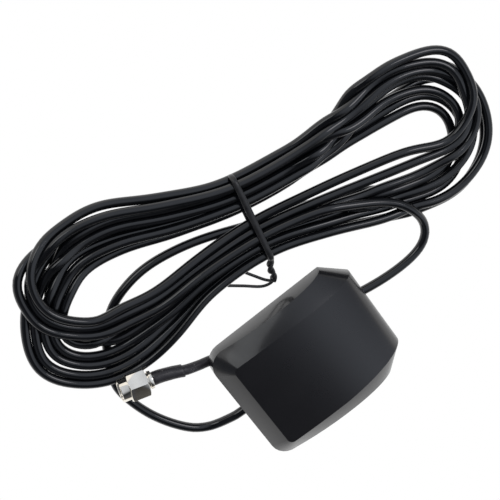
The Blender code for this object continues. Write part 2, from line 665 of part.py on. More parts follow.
def build_board(frame, board_green, ceramic, silver, tin, chip_black):
    feed_hole = [((FEED_OFFSET, 0.0, BOARD_TOP), FEED_RADIUS + PIN_GAP, 4 * PATCH_THICKNESS)]
    feed_cutter = add_object("feed_hole", cylinder_mesh("feed_hole", feed_hole, 16), None, frame, cutter=True)

    board = add_object(
        "circuit_board",
        box_mesh("circuit_board", [((0.0, 0.0, (BOARD_BOTTOM + BOARD_TOP) / 2), (BOARD_LENGTH, BOARD_WIDTH, BOARD_THICKNESS))]),
        board_green, frame,
    )
    cut(board, feed_cutter)

    half = PATCH_SIDE / 2
    cropped = [(half, -half), (half, half - PATCH_CORNER), (half - PATCH_CORNER, half), (-half, half), (-half, -half)]
    patch = add_object("patch_ceramic", plate_mesh("patch_ceramic", cropped, PATCH_BOTTOM, PATCH_TOP), ceramic, frame)
    cut(patch, feed_cutter)
    inner = half - ELECTRODE_MARGIN
    plated = [(inner, -inner), (inner, inner - PATCH_CORNER), (inner - PATCH_CORNER, inner), (-inner, inner), (-inner, -inner)]
    electrode = add_object(
        "patch_electrode", plate_mesh("patch_electrode", plated, ELECTRODE_BOTTOM, ELECTRODE_TOP), silver, frame
    )
    cut(electrode, feed_cutter)

    pin_bottom = BOARD_BOTTOM
    head = ELECTRODE_TOP + SEAT_GAP
    pin = turned(
        "feed_pin",
        [(0.0, head + FEED_HEAD_HEIGHT), (FEED_HEAD_RADIUS, head + FEED_HEAD_HEIGHT / 2), (FEED_HEAD_RADIUS, head),
         (FEED_RADIUS, head), (FEED_RADIUS, pin_bottom), (0.0, pin_bottom)],
        silver, frame, closed=False, steps=16,
    )
    pin.location = (FEED_OFFSET, 0.0, 0.0)

    tray = bmesh.new()
    size = (SCREEN_LENGTH, SCREEN_WIDTH, SCREEN_HEIGHT)
    matrix = Matrix.Translation((0.0, 0.0, SCREEN_BOTTOM + SCREEN_HEIGHT / 2)) @ Matrix.Diagonal((*size, 1.0))
    bmesh.ops.create_cube(tray, size=1.0, matrix=matrix)
    tray.faces.ensure_lookup_table()
    lid = max(tray.faces, key=lambda f: f.calc_center_median().z)
    bmesh.ops.delete(tray, geom=[lid], context="FACES")
    screen = add_object("screen_can", mesh_from(tray, "screen_can"), tin, frame)
    skin = screen.modifiers.new("Sheet", "SOLIDIFY")
    skin.thickness = SCREEN_WALL
    skin.offset = -1.0
    skin.use_even_offset = True

    chip_top = BOARD_BOTTOM - SEAT_GAP
    chip_size = (CHIP_SIDE, CHIP_SIDE, CHIP_HEIGHT)
    for name, x, y in (("amplifier_chip", -SCREEN_LENGTH / 4, 0.0), ("filter_chip", SCREEN_LENGTH / 4, 0.0)):
        chip = add_object(name, box_mesh(name, [((0.0, 0.0, 0.0), chip_size)]), chip_black, frame)
        chip.location = (x, y, chip_top - CHIP_HEIGHT / 2)
        bevel(chip, CHIP_BEVEL, 1)


def build_lead_entry(frame, rubber, jacket, metal, copper):
    bush = turned(
        "cable_bush",
        [(BUSH_RIM, FLANGE_END), (BUSH_RIM, FLANGE_START), (BUSH_NECK, FLANGE_START), (BUSH_NECK, REAR),
         (BUSH_BORE, REAR), (BUSH_BORE, FLANGE_END)],
        rubber, frame, steps=24, axis="X",
    )
    bush.location = (0.0, EXIT_SIDE, EXIT_HEIGHT)
    tube("inner_lead", [(REAR, EXIT_SIDE, EXIT_HEIGHT), (INNER_LEAD_END, EXIT_SIDE, EXIT_HEIGHT)], CABLE_RADIUS, LEAD_SPACING, jacket, frame)
    collar_end = INNER_LEAD_END - COLLAR_FROM_END
    collar_bore = CABLE_RADIUS + SEAT_GAP
    collar = turned(
        "crimp_collar",
        ring_profile(collar_bore, collar_bore + COLLAR_WALL, collar_end - COLLAR_LENGTH, collar_end),
        metal, frame, steps=24, axis="X",
    )
    collar.location = (0.0, EXIT_SIDE, EXIT_HEIGHT)
    top = BOARD_BOTTOM - SEAT_GAP
    start = CORE_START
    tube(
        "lead_core",
        [(start, EXIT_SIDE, EXIT_HEIGHT), (start + CORE_REACH / 4, EXIT_SIDE, EXIT_HEIGHT + CORE_RADIUS / 4),
         (CORE_RISE, EXIT_SIDE, (EXIT_HEIGHT + top) / 2), (CORE_RISE, EXIT_SIDE, top)],
        CORE_RADIUS, THIN_SPACING, copper, frame,
    )


def build_nut(frame, metal):
    """Coupling nut: round barrel and chamfered hexagon in one, bored for the thread, the ring and the lip."""
    barrel, length, corner = NUT_BARREL_LENGTH, NUT_LENGTH, NUT_CORNER_RADIUS + NUT_CHAMFER
    flat = NUT_FLATS / 2
    envelope = turned(
        "nut_envelope",
        [(0.0, length), (flat, length), (corner, length - (corner - flat) / 2), (corner, barrel + (corner - flat) / 2),
         (flat - NUT_CHAMFER / 4, barrel), (NUT_BARREL_RADIUS, barrel), (NUT_BARREL_RADIUS, NUT_RIM_CHAMFER),
         (NUT_BARREL_RADIUS - NUT_RIM_CHAMFER, 0.0), (0.0, 0.0)],
        None, frame, closed=False, steps=36,
    )
    hide_as_cutter(envelope)
    prism = bmesh.new()
    bmesh.ops.create_cone(
        prism, cap_ends=True, segments=6, radius1=NUT_CORNER_RADIUS, radius2=NUT_CORNER_RADIUS, depth=length + 2 * SLACK,
        matrix=Matrix.Translation((0.0, 0.0, length / 2)) @ Matrix.Rotation(math.radians(30), 4, "Z"),
    )
    nut = add_object("coupling_nut", mesh_from(prism, "coupling_nut"), metal, frame)
    nut.rotation_euler = (0.0, 0.0, NUT_TURN)
    cut(nut, envelope, "INTERSECT")
    groove_front = RING_FRONT - SEAT_GAP
    lip = length - NUT_LIP_LENGTH
    bore = turned(
        "nut_bore",
        [(0.0, length + SLACK), (NUT_LIP_RADIUS, length + SLACK), (NUT_LIP_RADIUS, lip), (RING_OUTER + SEAT_GAP, lip),
         (RING_OUTER + SEAT_GAP, groove_front), (NUT_THREAD_RADIUS, groove_front), (NUT_THREAD_RADIUS, NUT_RIM_CHAMFER),
         (NUT_THREAD_RADIUS + 2 * NUT_RIM_CHAMFER, -NUT_RIM_CHAMFER), (0.0, -NUT_RIM_CHAMFER)],
        None, frame, closed=False, steps=36,
    )
    hide_as_cutter(bore)
    cut(nut, bore)
    return nut


def hide_as_cutter(obj):
    parts.objects.unlink(obj)
    cutters.objects.link(obj)
    obj.hide_render = True
    obj.display_type = "WIRE"


def build_plug(frame, nickel, gold, white, red, dull, shrink):
    shoulder = BODY_NECK_RADIUS + SEAT_GAP
    groove_front = RING_FRONT - SEAT_GAP
    groove_back = RING_BACK + SEAT_GAP
    stem_end = FLANGE_BACK + STEM_LENGTH
    bore_end = BODY_FRONT + INSULATOR_LENGTH + 2 * SEAT_GAP
    turned(
        "plug_body",
        [(STEM_RADIUS, stem_end), (STEM_RADIUS, FLANGE_BACK), (FLANGE_RADIUS, FLANGE_BACK), (FLANGE_RADIUS, FLANGE_FRONT),
         (BODY_NECK_RADIUS, FLANGE_FRONT), (BODY_NECK_RADIUS, groove_back), (GROOVE_RADIUS, groove_back),
         (GROOVE_RADIUS, groove_front), (BODY_NECK_RADIUS, groove_front), (BODY_NECK_RADIUS, BODY_SHOULDER + BODY_SHOULDER_LENGTH),
         (shoulder, BODY_SHOULDER + BODY_SHOULDER_LENGTH), (shoulder, BODY_SHOULDER), (BODY_FRONT_RADIUS, BODY_SHOULDER),
         (BODY_FRONT_RADIUS, BODY_FRONT), (BODY_BORE_RADIUS, BODY_FRONT), (BODY_BORE_RADIUS, bore_end),
         (CONTACT_BORE, bore_end), (CONTACT_BORE, stem_end)],
        nickel, frame,
    )
    ring = turned("retaining_ring", ring_profile(RING_INNER, RING_OUTER, RING_FRONT, RING_BACK), dull, frame)
    gap_box = box_mesh("ring_slot", [((RING_OUTER, 0.0, RING_FRONT), (2 * RING_BITE + 2 * RING_OUTER - 2 * RING_INNER, RING_SLOT, SLACK))])
    cut(ring, add_object("ring_slot", gap_box, None, frame, cutter=True))
    gasket_in = BODY_FRONT_RADIUS + (NUT_THREAD_RADIUS - BODY_FRONT_RADIUS) / 4
    gasket_out = NUT_THREAD_RADIUS - (NUT_THREAD_RADIUS - BODY_FRONT_RADIUS) / 4
    gasket_back = BODY_SHOULDER - SEAT_GAP
    turned("plug_gasket", ring_profile(gasket_in, gasket_out, gasket_back - GASKET_LENGTH, gasket_back), red, frame)
    front = BODY_FRONT + SEAT_GAP
    turned("plug_insulator", ring_profile(CONTACT_BORE, INSULATOR_RADIUS, front, front + INSULATOR_LENGTH), white, frame)
    turned(
        "centre_contact",
        [(0.0, CONTACT_TIP + CONTACT_LENGTH), (CONTACT_RADIUS, CONTACT_TIP + CONTACT_LENGTH),
         (CONTACT_RADIUS, CONTACT_TIP + CONTACT_POINT), (CONTACT_RADIUS / 3, CONTACT_TIP), (0.0, CONTACT_TIP)],
        gold, frame, closed=False, steps=16,
    )
    turned(
        "crimp_ferrule",
        ring_profile(FERRULE_INNER, FERRULE_OUTER, FERRULE_FRONT, FLANGE_BACK + STEM_LENGTH),
        dull, frame, steps=24,
    )
    boot_end = BOOT_FRONT + BOOT_LENGTH
    turned(
        "shrink_boot",
        [(BOOT_INNER + BOOT_WALL / 3, boot_end), (BOOT_OUTER, boot_end - BOOT_TAPER), (BOOT_OUTER, BOOT_FRONT),
         (BOOT_INNER, BOOT_FRONT), (BOOT_INNER, boot_end)],
        shrink, frame,
    )


def plug_matrix():
    """The plug's own Z runs from the nut's rim to the lead. Its X stays level."""
    along = Vector((
        math.cos(PLUG_SLOPE) * math.cos(PLUG_HEADING), math.cos(PLUG_SLOPE) * math.sin(PLUG_HEADING), -math.sin(PLUG_SLOPE)
    ))
    level = Vector((-math.sin(PLUG_HEADING), math.cos(PLUG_HEADING), 0.0))
    turn = Matrix((level, along.cross(level), along)).transposed().to_4x4()
    return Matrix.Translation(PLUG_FRONT) @ turn


def build_cord(frame, jacket, shrink, tie_black):
    """The lead as it lies: out of the housing to the hank, and from the hank under the housing to the plug."""
    axis_point = [frame @ Vector((0.0, 0.0, s)) for s in (TAIL_START, TAIL_START + TAIL_STRAIGHT / 2, TAIL_START + TAIL_STRAIGHT)]
    lead_start = Vector(PLUG_LEAD_ROUTE[0]) * MM
    bend = [Vector(p) * MM for p in TAIL_BEND]
    end = lead_start - (lead_start - bend[-1]).normalized() * FIT_GAP
    tube("shrink_tail", [*axis_point, *bend, end], TAIL_RADIUS, TAIL_SPACING, shrink)
    tube("housing_lead", [Vector(p) * MM for p in HOUSING_LEAD_ROUTE], CABLE_RADIUS, LEAD_SPACING, jacket)
    tube("plug_lead", [Vector(p) * MM for p in PLUG_LEAD_ROUTE], CABLE_RADIUS, LEAD_SPACING, jacket)

    outline = smooth_route([(x * MM, y * MM, 0.0) for x, y in HANK_OUTLINE], OUTLINE_SPACING, closed=True)
    openings = [smooth_route([(x * MM, y * MM, 0.0) for x, y in hole], OUTLINE_SPACING, closed=True) for hole in HANK_OPENINGS]
    hank = add_object("cable_hank", outline_curve("cable_hank", [outline, *openings], HANK_HEIGHT), jacket)
    lift = TIE_THICKNESS + FIT_GAP + HANK_HEIGHT / 2
    hank.location = (0.0, 0.0, lift)

    near, far = Vector((*TIE_NEAR, 0.0)) * MM, Vector((*TIE_FAR, 0.0)) * MM
    across = (far - near).normalized()
    half_length = (far - near).length / 2
    inner_top = HANK_HEIGHT / 2 + FIT_GAP
    corner = HANK_HEIGHT / 4

    def rounded(half_x, half_y, radius):
        points = []
        for cx, cy, begin in ((1, 1, 0), (-1, 1, 90), (-1, -1, 180), (1, -1, 270)):
            for step in range(5):
                angle = math.radians(begin + 22.5 * step)
                points.append((cx * (half_x - radius) + radius * math.cos(angle), cy * (half_y - radius) + radius * math.sin(angle)))
        return points

    reach = half_length + TIE_THICKNESS + FIT_GAP
    outer = rounded(reach + TIE_THICKNESS, inner_top + TIE_THICKNESS, corner + TIE_THICKNESS)
    inner = rounded(reach, inner_top, corner)
    band = add_object("tie_band", outline_curve("tie_band", [outer, inner], TIE_WIDTH), tie_black)
    turn = Matrix((across, Vector((0.0, 0.0, 1.0)), across.cross(Vector((0.0, 0.0, 1.0))))).transposed().to_4x4()
    middle = (near + far) / 2
    band.matrix_world = Matrix.Translation((middle.x, middle.y, lift)) @ turn
    tube("tie_twist", [Vector(p) * MM for p in TIE_TWIST_ROUTE], TIE_TWIST_RADIUS, TAIL_SPACING, tie_black)
    tube("tie_tail_long", [Vector(p) * MM for p in TIE_LONG_ROUTE], TIE_TAIL_RADIUS, TAIL_SPACING, tie_black)
    tube("tie_tail_short", [Vector(p) * MM for p in TIE_SHORT_ROUTE], TIE_TAIL_RADIUS, TAIL_SPACING, tie_black)


clear_scene()
parts = make_collection("patch_antenna")
cutters = make_collection("cutters", hidden=True)

matte_black = make_material("matte_black_plastic", (0.022, 0.022, 0.026), 0.55)
base_black = make_material("base_black_plastic", (0.028, 0.028, 0.030), 0.60)
soft_black = make_material("soft_black_rubber", (0.020, 0.020, 0.020), 0.80)
magnet_grey = make_material("plated_magnet", (0.45, 0.45, 0.46), 0.30, 1.0)
screw_steel = make_material("screw_steel", (0.40, 0.40, 0.41), 0.35, 1.0)
board_green = make_material("board_green", (0.02, 0.12, 0.05), 0.45)
ceramic_grey = make_material("patch_ceramic", (0.55, 0.50, 0.42), 0.50)
silver_plate = make_material("silver_plate", (0.80, 0.79, 0.76), 0.30, 1.0)
tin_plate = make_material("tin_plate", (0.60, 0.60, 0.60), 0.35, 1.0)
chip_black = make_material("chip_black", (0.020, 0.020, 0.020), 0.50)
jacket_black = make_material("jacket_black", (0.012, 0.013, 0.015), 0.38)
copper = make_material("copper", (0.72, 0.38, 0.22), 0.30, 1.0)
nickel = make_material("nickel_plate", (0.78, 0.75, 0.70), 0.14, 1.0)
gold = make_material("gold_plate", (0.83, 0.62, 0.25), 0.20, 1.0)
insulator_white = make_material("insulator_white", (0.80, 0.80, 0.78), 0.45)
gasket_red = make_material("gasket_red", (0.45, 0.06, 0.03), 0.55)
spring_bronze = make_material("spring_bronze", (0.55, 0.42, 0.26), 0.30, 1.0)
shrink_black = make_material("shrink_black", (0.020, 0.019, 0.022), 0.48)
tie_black = make_material("tie_black", (0.015, 0.015, 0.017), 0.35)

housing_frame = make_empty("housing_frame", housing_matrix())
plug_axis = make_empty("plug_axis", plug_matrix())

build_cover(housing_frame, matte_black)
build_base(housing_frame, base_black, soft_black, magnet_grey, screw_steel)
build_board(housing_frame, board_green, ceramic_grey, silver_plate, tin_plate, chip_black)
build_lead_entry(housing_frame, soft_black, jacket_black, tin_plate, copper)
build_nut(plug_axis, nickel)
build_plug(plug_axis, nickel, gold, insulator_white, gasket_red, spring_bronze, shrink_black)
build_cord(plug_matrix(), jacket_black, shrink_black, tie_black)
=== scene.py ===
import math

import bpy
import numpy as np
from mathutils import Matrix, Vector


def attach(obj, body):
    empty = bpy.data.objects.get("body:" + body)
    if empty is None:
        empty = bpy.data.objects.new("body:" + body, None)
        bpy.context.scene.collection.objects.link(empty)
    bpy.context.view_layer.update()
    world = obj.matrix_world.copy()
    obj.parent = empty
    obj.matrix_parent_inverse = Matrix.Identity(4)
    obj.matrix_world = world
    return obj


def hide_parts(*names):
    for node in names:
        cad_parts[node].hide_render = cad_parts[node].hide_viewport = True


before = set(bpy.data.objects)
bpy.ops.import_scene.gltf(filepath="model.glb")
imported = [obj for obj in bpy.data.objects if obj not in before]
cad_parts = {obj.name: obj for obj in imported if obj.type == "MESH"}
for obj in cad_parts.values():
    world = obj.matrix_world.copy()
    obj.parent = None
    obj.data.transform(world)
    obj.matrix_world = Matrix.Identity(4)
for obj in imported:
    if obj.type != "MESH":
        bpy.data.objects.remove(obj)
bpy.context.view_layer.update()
mm = 0.001


def report(words):
    print("stage:", words)


# One material's nodes, added by name: a socket that is given is linked, and a number or colour is set.
class Nodes:
    def __init__(self, name):
        self.material = bpy.data.materials.new(name)
        self.material.use_nodes = True
        self.tree = self.material.node_tree
        self.shader = self.tree.nodes["Principled BSDF"]
        self.place = None

    def add(self, kind, settings=None, **sockets):
        node = self.tree.nodes.new("ShaderNode" + kind)
        for key, value in (settings or {}).items():
            setattr(node, key, value)
        for key, value in sockets.items():
            self.feed(node.inputs[key.replace("_", " ")], value)
        return node

    def feed(self, socket, value):
        if isinstance(value, bpy.types.NodeSocket):
            self.tree.links.new(value, socket)
        elif isinstance(value, tuple) and len(value) == 3 and socket.type == "RGBA":
            socket.default_value = (*value, 1.0)
        else:
            socket.default_value = value

    def where(self, stretch=None):
        # object coordinates, stretched by a factor along each axis where asked
        if self.place is None:
            self.place = self.add("TexCoord").outputs["Object"]
        if stretch is None:
            return self.place
        return self.add("Mapping", Vector=self.place, Scale=stretch).outputs["Vector"]

    def noise(self, scale, detail=3.0, roughness=0.5, stretch=None):
        place = self.where(stretch)
        node = self.add("TexNoise", Vector=place, Scale=scale, Detail=detail, Roughness=roughness)
        return node.outputs["Fac"]

    def span(self, value, low, high, start=0.3, end=0.7):
        # the middle of a noise's range, spread between two limits
        node = self.add("MapRange", Value=value, From_Min=start, From_Max=end, To_Min=low, To_Max=high)
        return node.outputs["Result"]

    def mixColour(self, factor, a, b):
        node = self.add("Mix", {"data_type": "RGBA"})
        self.feed(node.inputs[0], factor)
        self.feed(node.inputs[6], a)
        self.feed(node.inputs[7], b)
        return node.outputs[2]

    def maths(self, operation, a, b):
        node = self.add("Math", {"operation": operation})
        self.feed(node.inputs[0], a)
        self.feed(node.inputs[1], b)
        return node.outputs[0]

    def bump(self, height, distance, strength=1.0, onto=None):
        node = self.add("Bump", Height=height, Distance=distance, Strength=strength)
        if onto is not None:
            self.feed(node.inputs["Normal"], onto)
        return node.outputs["Normal"]

    def finish(self, **sockets):
        for key, value in sockets.items():
            self.feed(self.shader.inputs[key.replace("_", " ")], value)
        return self.material


# Moulded or rubbery surface: colour that drifts a little, a fine grain and an uneven sheen.
def plainPlastic(name, look):
    n = Nodes(name)
    speck = n.noise(look["grain"], 2.0, 0.6)
    cloud = n.noise(look["cloud"], 3.0, 0.5)
    colour = n.mixColour(n.span(speck, 0.0, 1.0), look["dark"], look["light"])
    rough = n.maths("ADD", n.span(cloud, *look["rough"]), n.span(speck, -0.02, 0.02))
    grain = n.bump(speck, look["depth"], look.get("strength", 0.5))
    return n.finish(
        Base_Color=colour, Roughness=rough, Normal=grain, Specular_IOR_Level=look.get("specular", 0.5),
        Coat_Weight=look.get("coat", 0.0), Coat_Roughness=look.get("coatRough", 0.3),
    )


# Plated or drawn metal: fine scratches along one axis and faint clouding.
def plainMetal(name, look):
    n = Nodes(name)
    lines = n.noise(look["lines"], 2.0, 0.7, look["stretch"])
    cloud = n.noise(look["cloud"], 4.0, 0.6)
    colour = n.mixColour(n.span(cloud, 0.0, 1.0), look["dark"], look["light"])
    rough = n.maths("ADD", n.span(cloud, *look["rough"]), n.span(lines, -0.02, 0.03))
    scratches = n.bump(lines, look["depth"], 0.4)
    return n.finish(Base_Color=colour, Metallic=1.0, Roughness=rough, Normal=scratches)


# Colours are linear; grain, cloud and lines are noise scales, and depth is in metres.
plastics = {
    "coverPlastic": {
        "dark": (0.0045, 0.0045, 0.0060), "light": (0.0085, 0.0082, 0.0105), "grain": 5200.0,
        "cloud": 90.0, "rough": (0.28, 0.33), "depth": 0.000005, "strength": 0.55, "specular": 0.42,
        "coat": 0.45, "coatRough": 0.12,
    },
    "basePlastic": {
        "dark": (0.012, 0.012, 0.013), "light": (0.022, 0.022, 0.024), "grain": 3600.0, "cloud": 120.0,
        "rough": (0.52, 0.62), "depth": 0.00001,
    },
    "footRubber": {
        "dark": (0.008, 0.008, 0.008), "light": (0.018, 0.018, 0.018), "grain": 2600.0, "cloud": 200.0,
        "rough": (0.70, 0.85), "depth": 0.00002,
    },
    "bushRubber": {
        "dark": (0.008, 0.008, 0.008), "light": (0.016, 0.016, 0.017), "grain": 4200.0, "cloud": 400.0,
        "rough": (0.55, 0.68), "depth": 0.00001,
    },
    "boardMask": {
        "dark": (0.008, 0.060, 0.022), "light": (0.012, 0.085, 0.030), "grain": 900.0, "cloud": 150.0,
        "rough": (0.25, 0.35), "depth": 0.00001,
    },
    "patchCeramic": {
        "dark": (0.42, 0.37, 0.29), "light": (0.55, 0.50, 0.41), "grain": 5200.0, "cloud": 300.0,
        "rough": (0.60, 0.72), "depth": 0.00001,
    },
    "chipBlack": {
        "dark": (0.010, 0.010, 0.010), "light": (0.020, 0.020, 0.021), "grain": 8000.0, "cloud": 500.0,
        "rough": (0.45, 0.55), "depth": 0.000004,
    },
    "insulatorWhite": {
        "dark": (0.68, 0.68, 0.65), "light": (0.80, 0.80, 0.77), "grain": 4000.0, "cloud": 600.0,
        "rough": (0.34, 0.44), "depth": 0.000004,
    },
    "gasketRed": {
        "dark": (0.28, 0.025, 0.012), "light": (0.42, 0.045, 0.022), "grain": 4000.0, "cloud": 600.0,
        "rough": (0.50, 0.60), "depth": 0.000004,
    },
}
metals = {
    "nickel": {
        "dark": (0.86, 0.81, 0.71), "light": (0.97, 0.93, 0.85), "lines": 700.0,
        "stretch": (8.0, 8.0, 1.0), "cloud": 420.0, "rough": (0.05, 0.09), "depth": 0.0000012,
    },
    "magnetPlate": {
        "dark": (0.42, 0.42, 0.43), "light": (0.55, 0.55, 0.56), "lines": 600.0,
        "stretch": (1.0, 6.0, 1.0), "cloud": 300.0, "rough": (0.22, 0.34), "depth": 0.000004,
    },
    "screwSteel": {
        "dark": (0.30, 0.30, 0.31), "light": (0.46, 0.46, 0.47), "lines": 1500.0,
        "stretch": (1.0, 1.0, 5.0), "cloud": 900.0, "rough": (0.28, 0.40), "depth": 0.000004,
    },
    "silverPlate": {
        "dark": (0.70, 0.69, 0.66), "light": (0.83, 0.82, 0.79), "lines": 900.0,
        "stretch": (5.0, 1.0, 1.0), "cloud": 250.0, "rough": (0.30, 0.42), "depth": 0.000004,
    },
    "tinPlate": {
        "dark": (0.50, 0.50, 0.50), "light": (0.64, 0.64, 0.63), "lines": 900.0,
        "stretch": (1.0, 7.0, 1.0), "cloud": 250.0, "rough": (0.24, 0.36), "depth": 0.000004,
    },
    "copper": {
        "dark": (0.62, 0.28, 0.15), "light": (0.80, 0.42, 0.25), "lines": 1500.0,
        "stretch": (1.0, 1.0, 4.0), "cloud": 700.0, "rough": (0.20, 0.30), "depth": 0.000003,
    },
    "gold": {
        "dark": (0.72, 0.50, 0.17), "light": (0.86, 0.65, 0.28), "lines": 1500.0,
        "stretch": (4.0, 1.0, 1.0), "cloud": 700.0, "rough": (0.14, 0.22), "depth": 0.000002,
    },
    "springBronze": {
        "dark": (0.36, 0.26, 0.15), "light": (0.52, 0.39, 0.24), "lines": 1200.0,
        "stretch": (4.0, 1.0, 1.0), "cloud": 700.0, "rough": (0.25, 0.35), "depth": 0.000003,
    },
    "ferruleMetal": {
        "dark": (0.50, 0.46, 0.37), "light": (0.66, 0.62, 0.53), "lines": 1200.0,
        "stretch": (4.0, 1.0, 1.0), "cloud": 500.0, "rough": (0.24, 0.34), "depth": 0.000003,
    },
}


jacketLook = {
    "dark": (0.0022, 0.0026, 0.0036), "light": (0.0040, 0.0044, 0.0058), "rough": (0.09, 0.13),
    "specular": 0.62,
}


# Extruded black vinyl: glossy, faintly blue in the shade, with soft waves and tiny pits.
def jacketMaterial():
    look = jacketLook
    n = Nodes("cableJacket")
    cloud = n.noise(260.0, 3.0)
    pits = n.noise(4200.0, 2.0, 0.6)
    wave = n.noise(620.0, 2.0, 0.5)
    colour = n.mixColour(n.span(cloud, 0.0, 1.0), look["dark"], look["light"])
    rough = n.maths("ADD", n.span(wave, *look["rough"]), n.span(pits, -0.015, 0.015))
    surface = n.bump(pits, 0.000003, 0.3, n.bump(wave, 0.000012, 0.3))
    return n.finish(Base_Color=colour, Roughness=rough, Normal=surface, Specular_IOR_Level=look["specular"])


sleeveLook = {
    "dark": (0.010, 0.009, 0.012), "light": (0.020, 0.018, 0.023), "rubbed": (0.20, 0.20, 0.20),
    "rough": (0.36, 0.46),
}


# Shrunk plastic sleeve: duller than the lead, faintly purple, with shallow wrinkles and rubbed specks.
def sleeveMaterial():
    look = sleeveLook
    n = Nodes("shrinkSleeve")
    cloud = n.noise(700.0, 3.0)
    fine = n.noise(5200.0, 2.0, 0.6)
    colour = n.mixColour(n.span(fine, 0.0, 1.0), look["dark"], look["light"])
    specks = n.span(n.noise(2600.0, 1.0), 0.0, 1.0, 0.62, 0.68)
    patches = n.span(n.noise(330.0), 0.0, 1.0, 0.52, 0.58)
    colour = n.mixColour(n.maths("MULTIPLY", specks, patches), colour, look["rubbed"])
    rough = n.span(cloud, *look["rough"])
    wrinkle = n.bump(cloud, 0.00006, 0.5)
    return n.finish(Base_Color=colour, Roughness=rough, Normal=n.bump(fine, 0.000008, 0.5, wrinkle))


tieLook = {"dark": (0.006, 0.006, 0.007), "light": (0.014, 0.014, 0.016), "rough": (0.30, 0.42)}


# Plastic-coated wire: smooth black, in uneven patches.
def tieMaterial():
    look = tieLook
    n = Nodes("tieStrip")
    cloud = n.noise(500.0, 3.0)
    fine = n.noise(6000.0, 2.0)
    colour = n.mixColour(n.span(cloud, 0.0, 1.0), look["dark"], look["light"])
    return n.finish(
        Base_Color=colour, Roughness=n.span(cloud, *look["rough"]),
        Normal=n.bump(fine, 0.000006, 0.4, n.bump(cloud, 0.00003, 0.4)),
    )


def buildMaterials():
    made = {name: plainPlastic(name, look) for name, look in plastics.items()}
    made.update({name: plainMetal(name, look) for name, look in metals.items()})
    made["cableJacket"] = jacketMaterial()
    made["shrinkSleeve"] = sleeveMaterial()
    made["tieStrip"] = tieMaterial()
    report("materials made")
    return made


# Which finish each solid has, and the width of its softened edges in millimetres.
solidFinish = {
    "top_cover": ("coverPlastic", 0.22), "base_plate": ("basePlastic", 0.12),
    "foot_pad": ("footRubber", 0.12), "magnet_rear": ("magnetPlate", 0.0),
    "magnet_front": ("magnetPlate", 0.0), "base_screw_1": ("screwSteel", 0.0),
    "base_screw_2": ("screwSteel", 0.0), "base_screw_3": ("screwSteel", 0.0),
    "base_screw_4": ("screwSteel", 0.0), "circuit_board": ("boardMask", 0.0),
    "patch_ceramic": ("patchCeramic", 0.12), "patch_electrode": ("silverPlate", 0.0),
    "feed_pin": ("silverPlate", 0.0), "screen_can": ("tinPlate", 0.0),
    "amplifier_chip": ("chipBlack", 0.0), "filter_chip": ("chipBlack", 0.0),
    "cable_bush": ("bushRubber", 0.06), "inner_lead": ("cableJacket", 0.0),
    "crimp_collar": ("tinPlate", 0.04), "lead_core": ("copper", 0.0),
    "crimp_ferrule": ("ferruleMetal", 0.04), "plug_body": ("nickel", 0.05),
    "coupling_nut": ("nickel", 0.10), "retaining_ring": ("springBronze", 0.03),
    "plug_gasket": ("gasketRed", 0.05), "plug_insulator": ("insulatorWhite", 0.05),
    "centre_contact": ("gold", 0.0),
}


edgeLook = {
    "weld": 0.000002,  # metres
    "segments": 3, "sharper": 24.0,  # steps across a softened edge, and from how many degrees an edge is one
    "smoothTo": 30.0,  # degrees up to which facets shade as one surface
}


# Gives each solid its finish, softened edges and smooth shading over its small facets.
def dressSolids(made):
    for name, (finish, edge) in solidFinish.items():
        solid = bpy.data.objects[name]
        solid.data.materials.clear()
        solid.data.materials.append(made[finish])
        weld = solid.modifiers.new("Weld", "WELD")
        weld.merge_threshold = edgeLook["weld"]
        if edge:
            soft = solid.modifiers.new("Edges", "BEVEL")
            soft.width = edge * mm
            soft.segments = edgeLook["segments"]
            soft.limit_method = "ANGLE"
            soft.angle_limit = math.radians(edgeLook["sharper"])
            soft.use_clamp_overlap = True
            soft.harden_normals = False
        shadeSmooth(solid)
    report("solids dressed")


# Smooth shading up to an angle: a small node group leaves steeper edges sharp.
def shadeSmooth(obj):
    for polygon in obj.data.polygons:
        polygon.use_smooth = True
    group = bpy.data.node_groups.get("smoothByAngle")
    if group is None:
        group = bpy.data.node_groups.new("smoothByAngle", "GeometryNodeTree")
        group.is_modifier = True
        group.interface.new_socket("Geometry", in_out="INPUT", socket_type="NodeSocketGeometry")
        group.interface.new_socket("Geometry", in_out="OUTPUT", socket_type="NodeSocketGeometry")
        start = group.nodes.new("NodeGroupInput")
        end = group.nodes.new("NodeGroupOutput")
        edge = group.nodes.new("GeometryNodeInputMeshEdgeAngle")
        limit = group.nodes.new("FunctionNodeCompare")
        limit.data_type = "FLOAT"
        limit.operation = "LESS_EQUAL"
        limit.inputs[1].default_value = math.radians(edgeLook["smoothTo"])
        flat = group.nodes.new("GeometryNodeSetShadeSmooth")
        flat.domain = "EDGE"
        group.links.new(edge.outputs["Unsigned Angle"], limit.inputs[0])
        group.links.new(start.outputs[0], flat.inputs["Geometry"])
        group.links.new(limit.outputs[0], flat.inputs["Shade Smooth"])
        group.links.new(flat.outputs[0], end.inputs[0])
    obj.modifiers.new("Smooth", "NODES").node_group = group


def meshObject(name, verts, faces, material, smooth=True):
    mesh = bpy.data.meshes.new(name)
    mesh.from_pydata([tuple(v) for v in verts], [], faces)
    mesh.validate()
    mesh.update()
    obj = bpy.data.objects.new(name, mesh)
    bpy.context.scene.collection.objects.link(obj)
    mesh.materials.append(material)
    if smooth:
        for polygon in mesh.polygons:
            polygon.use_smooth = True
    return obj


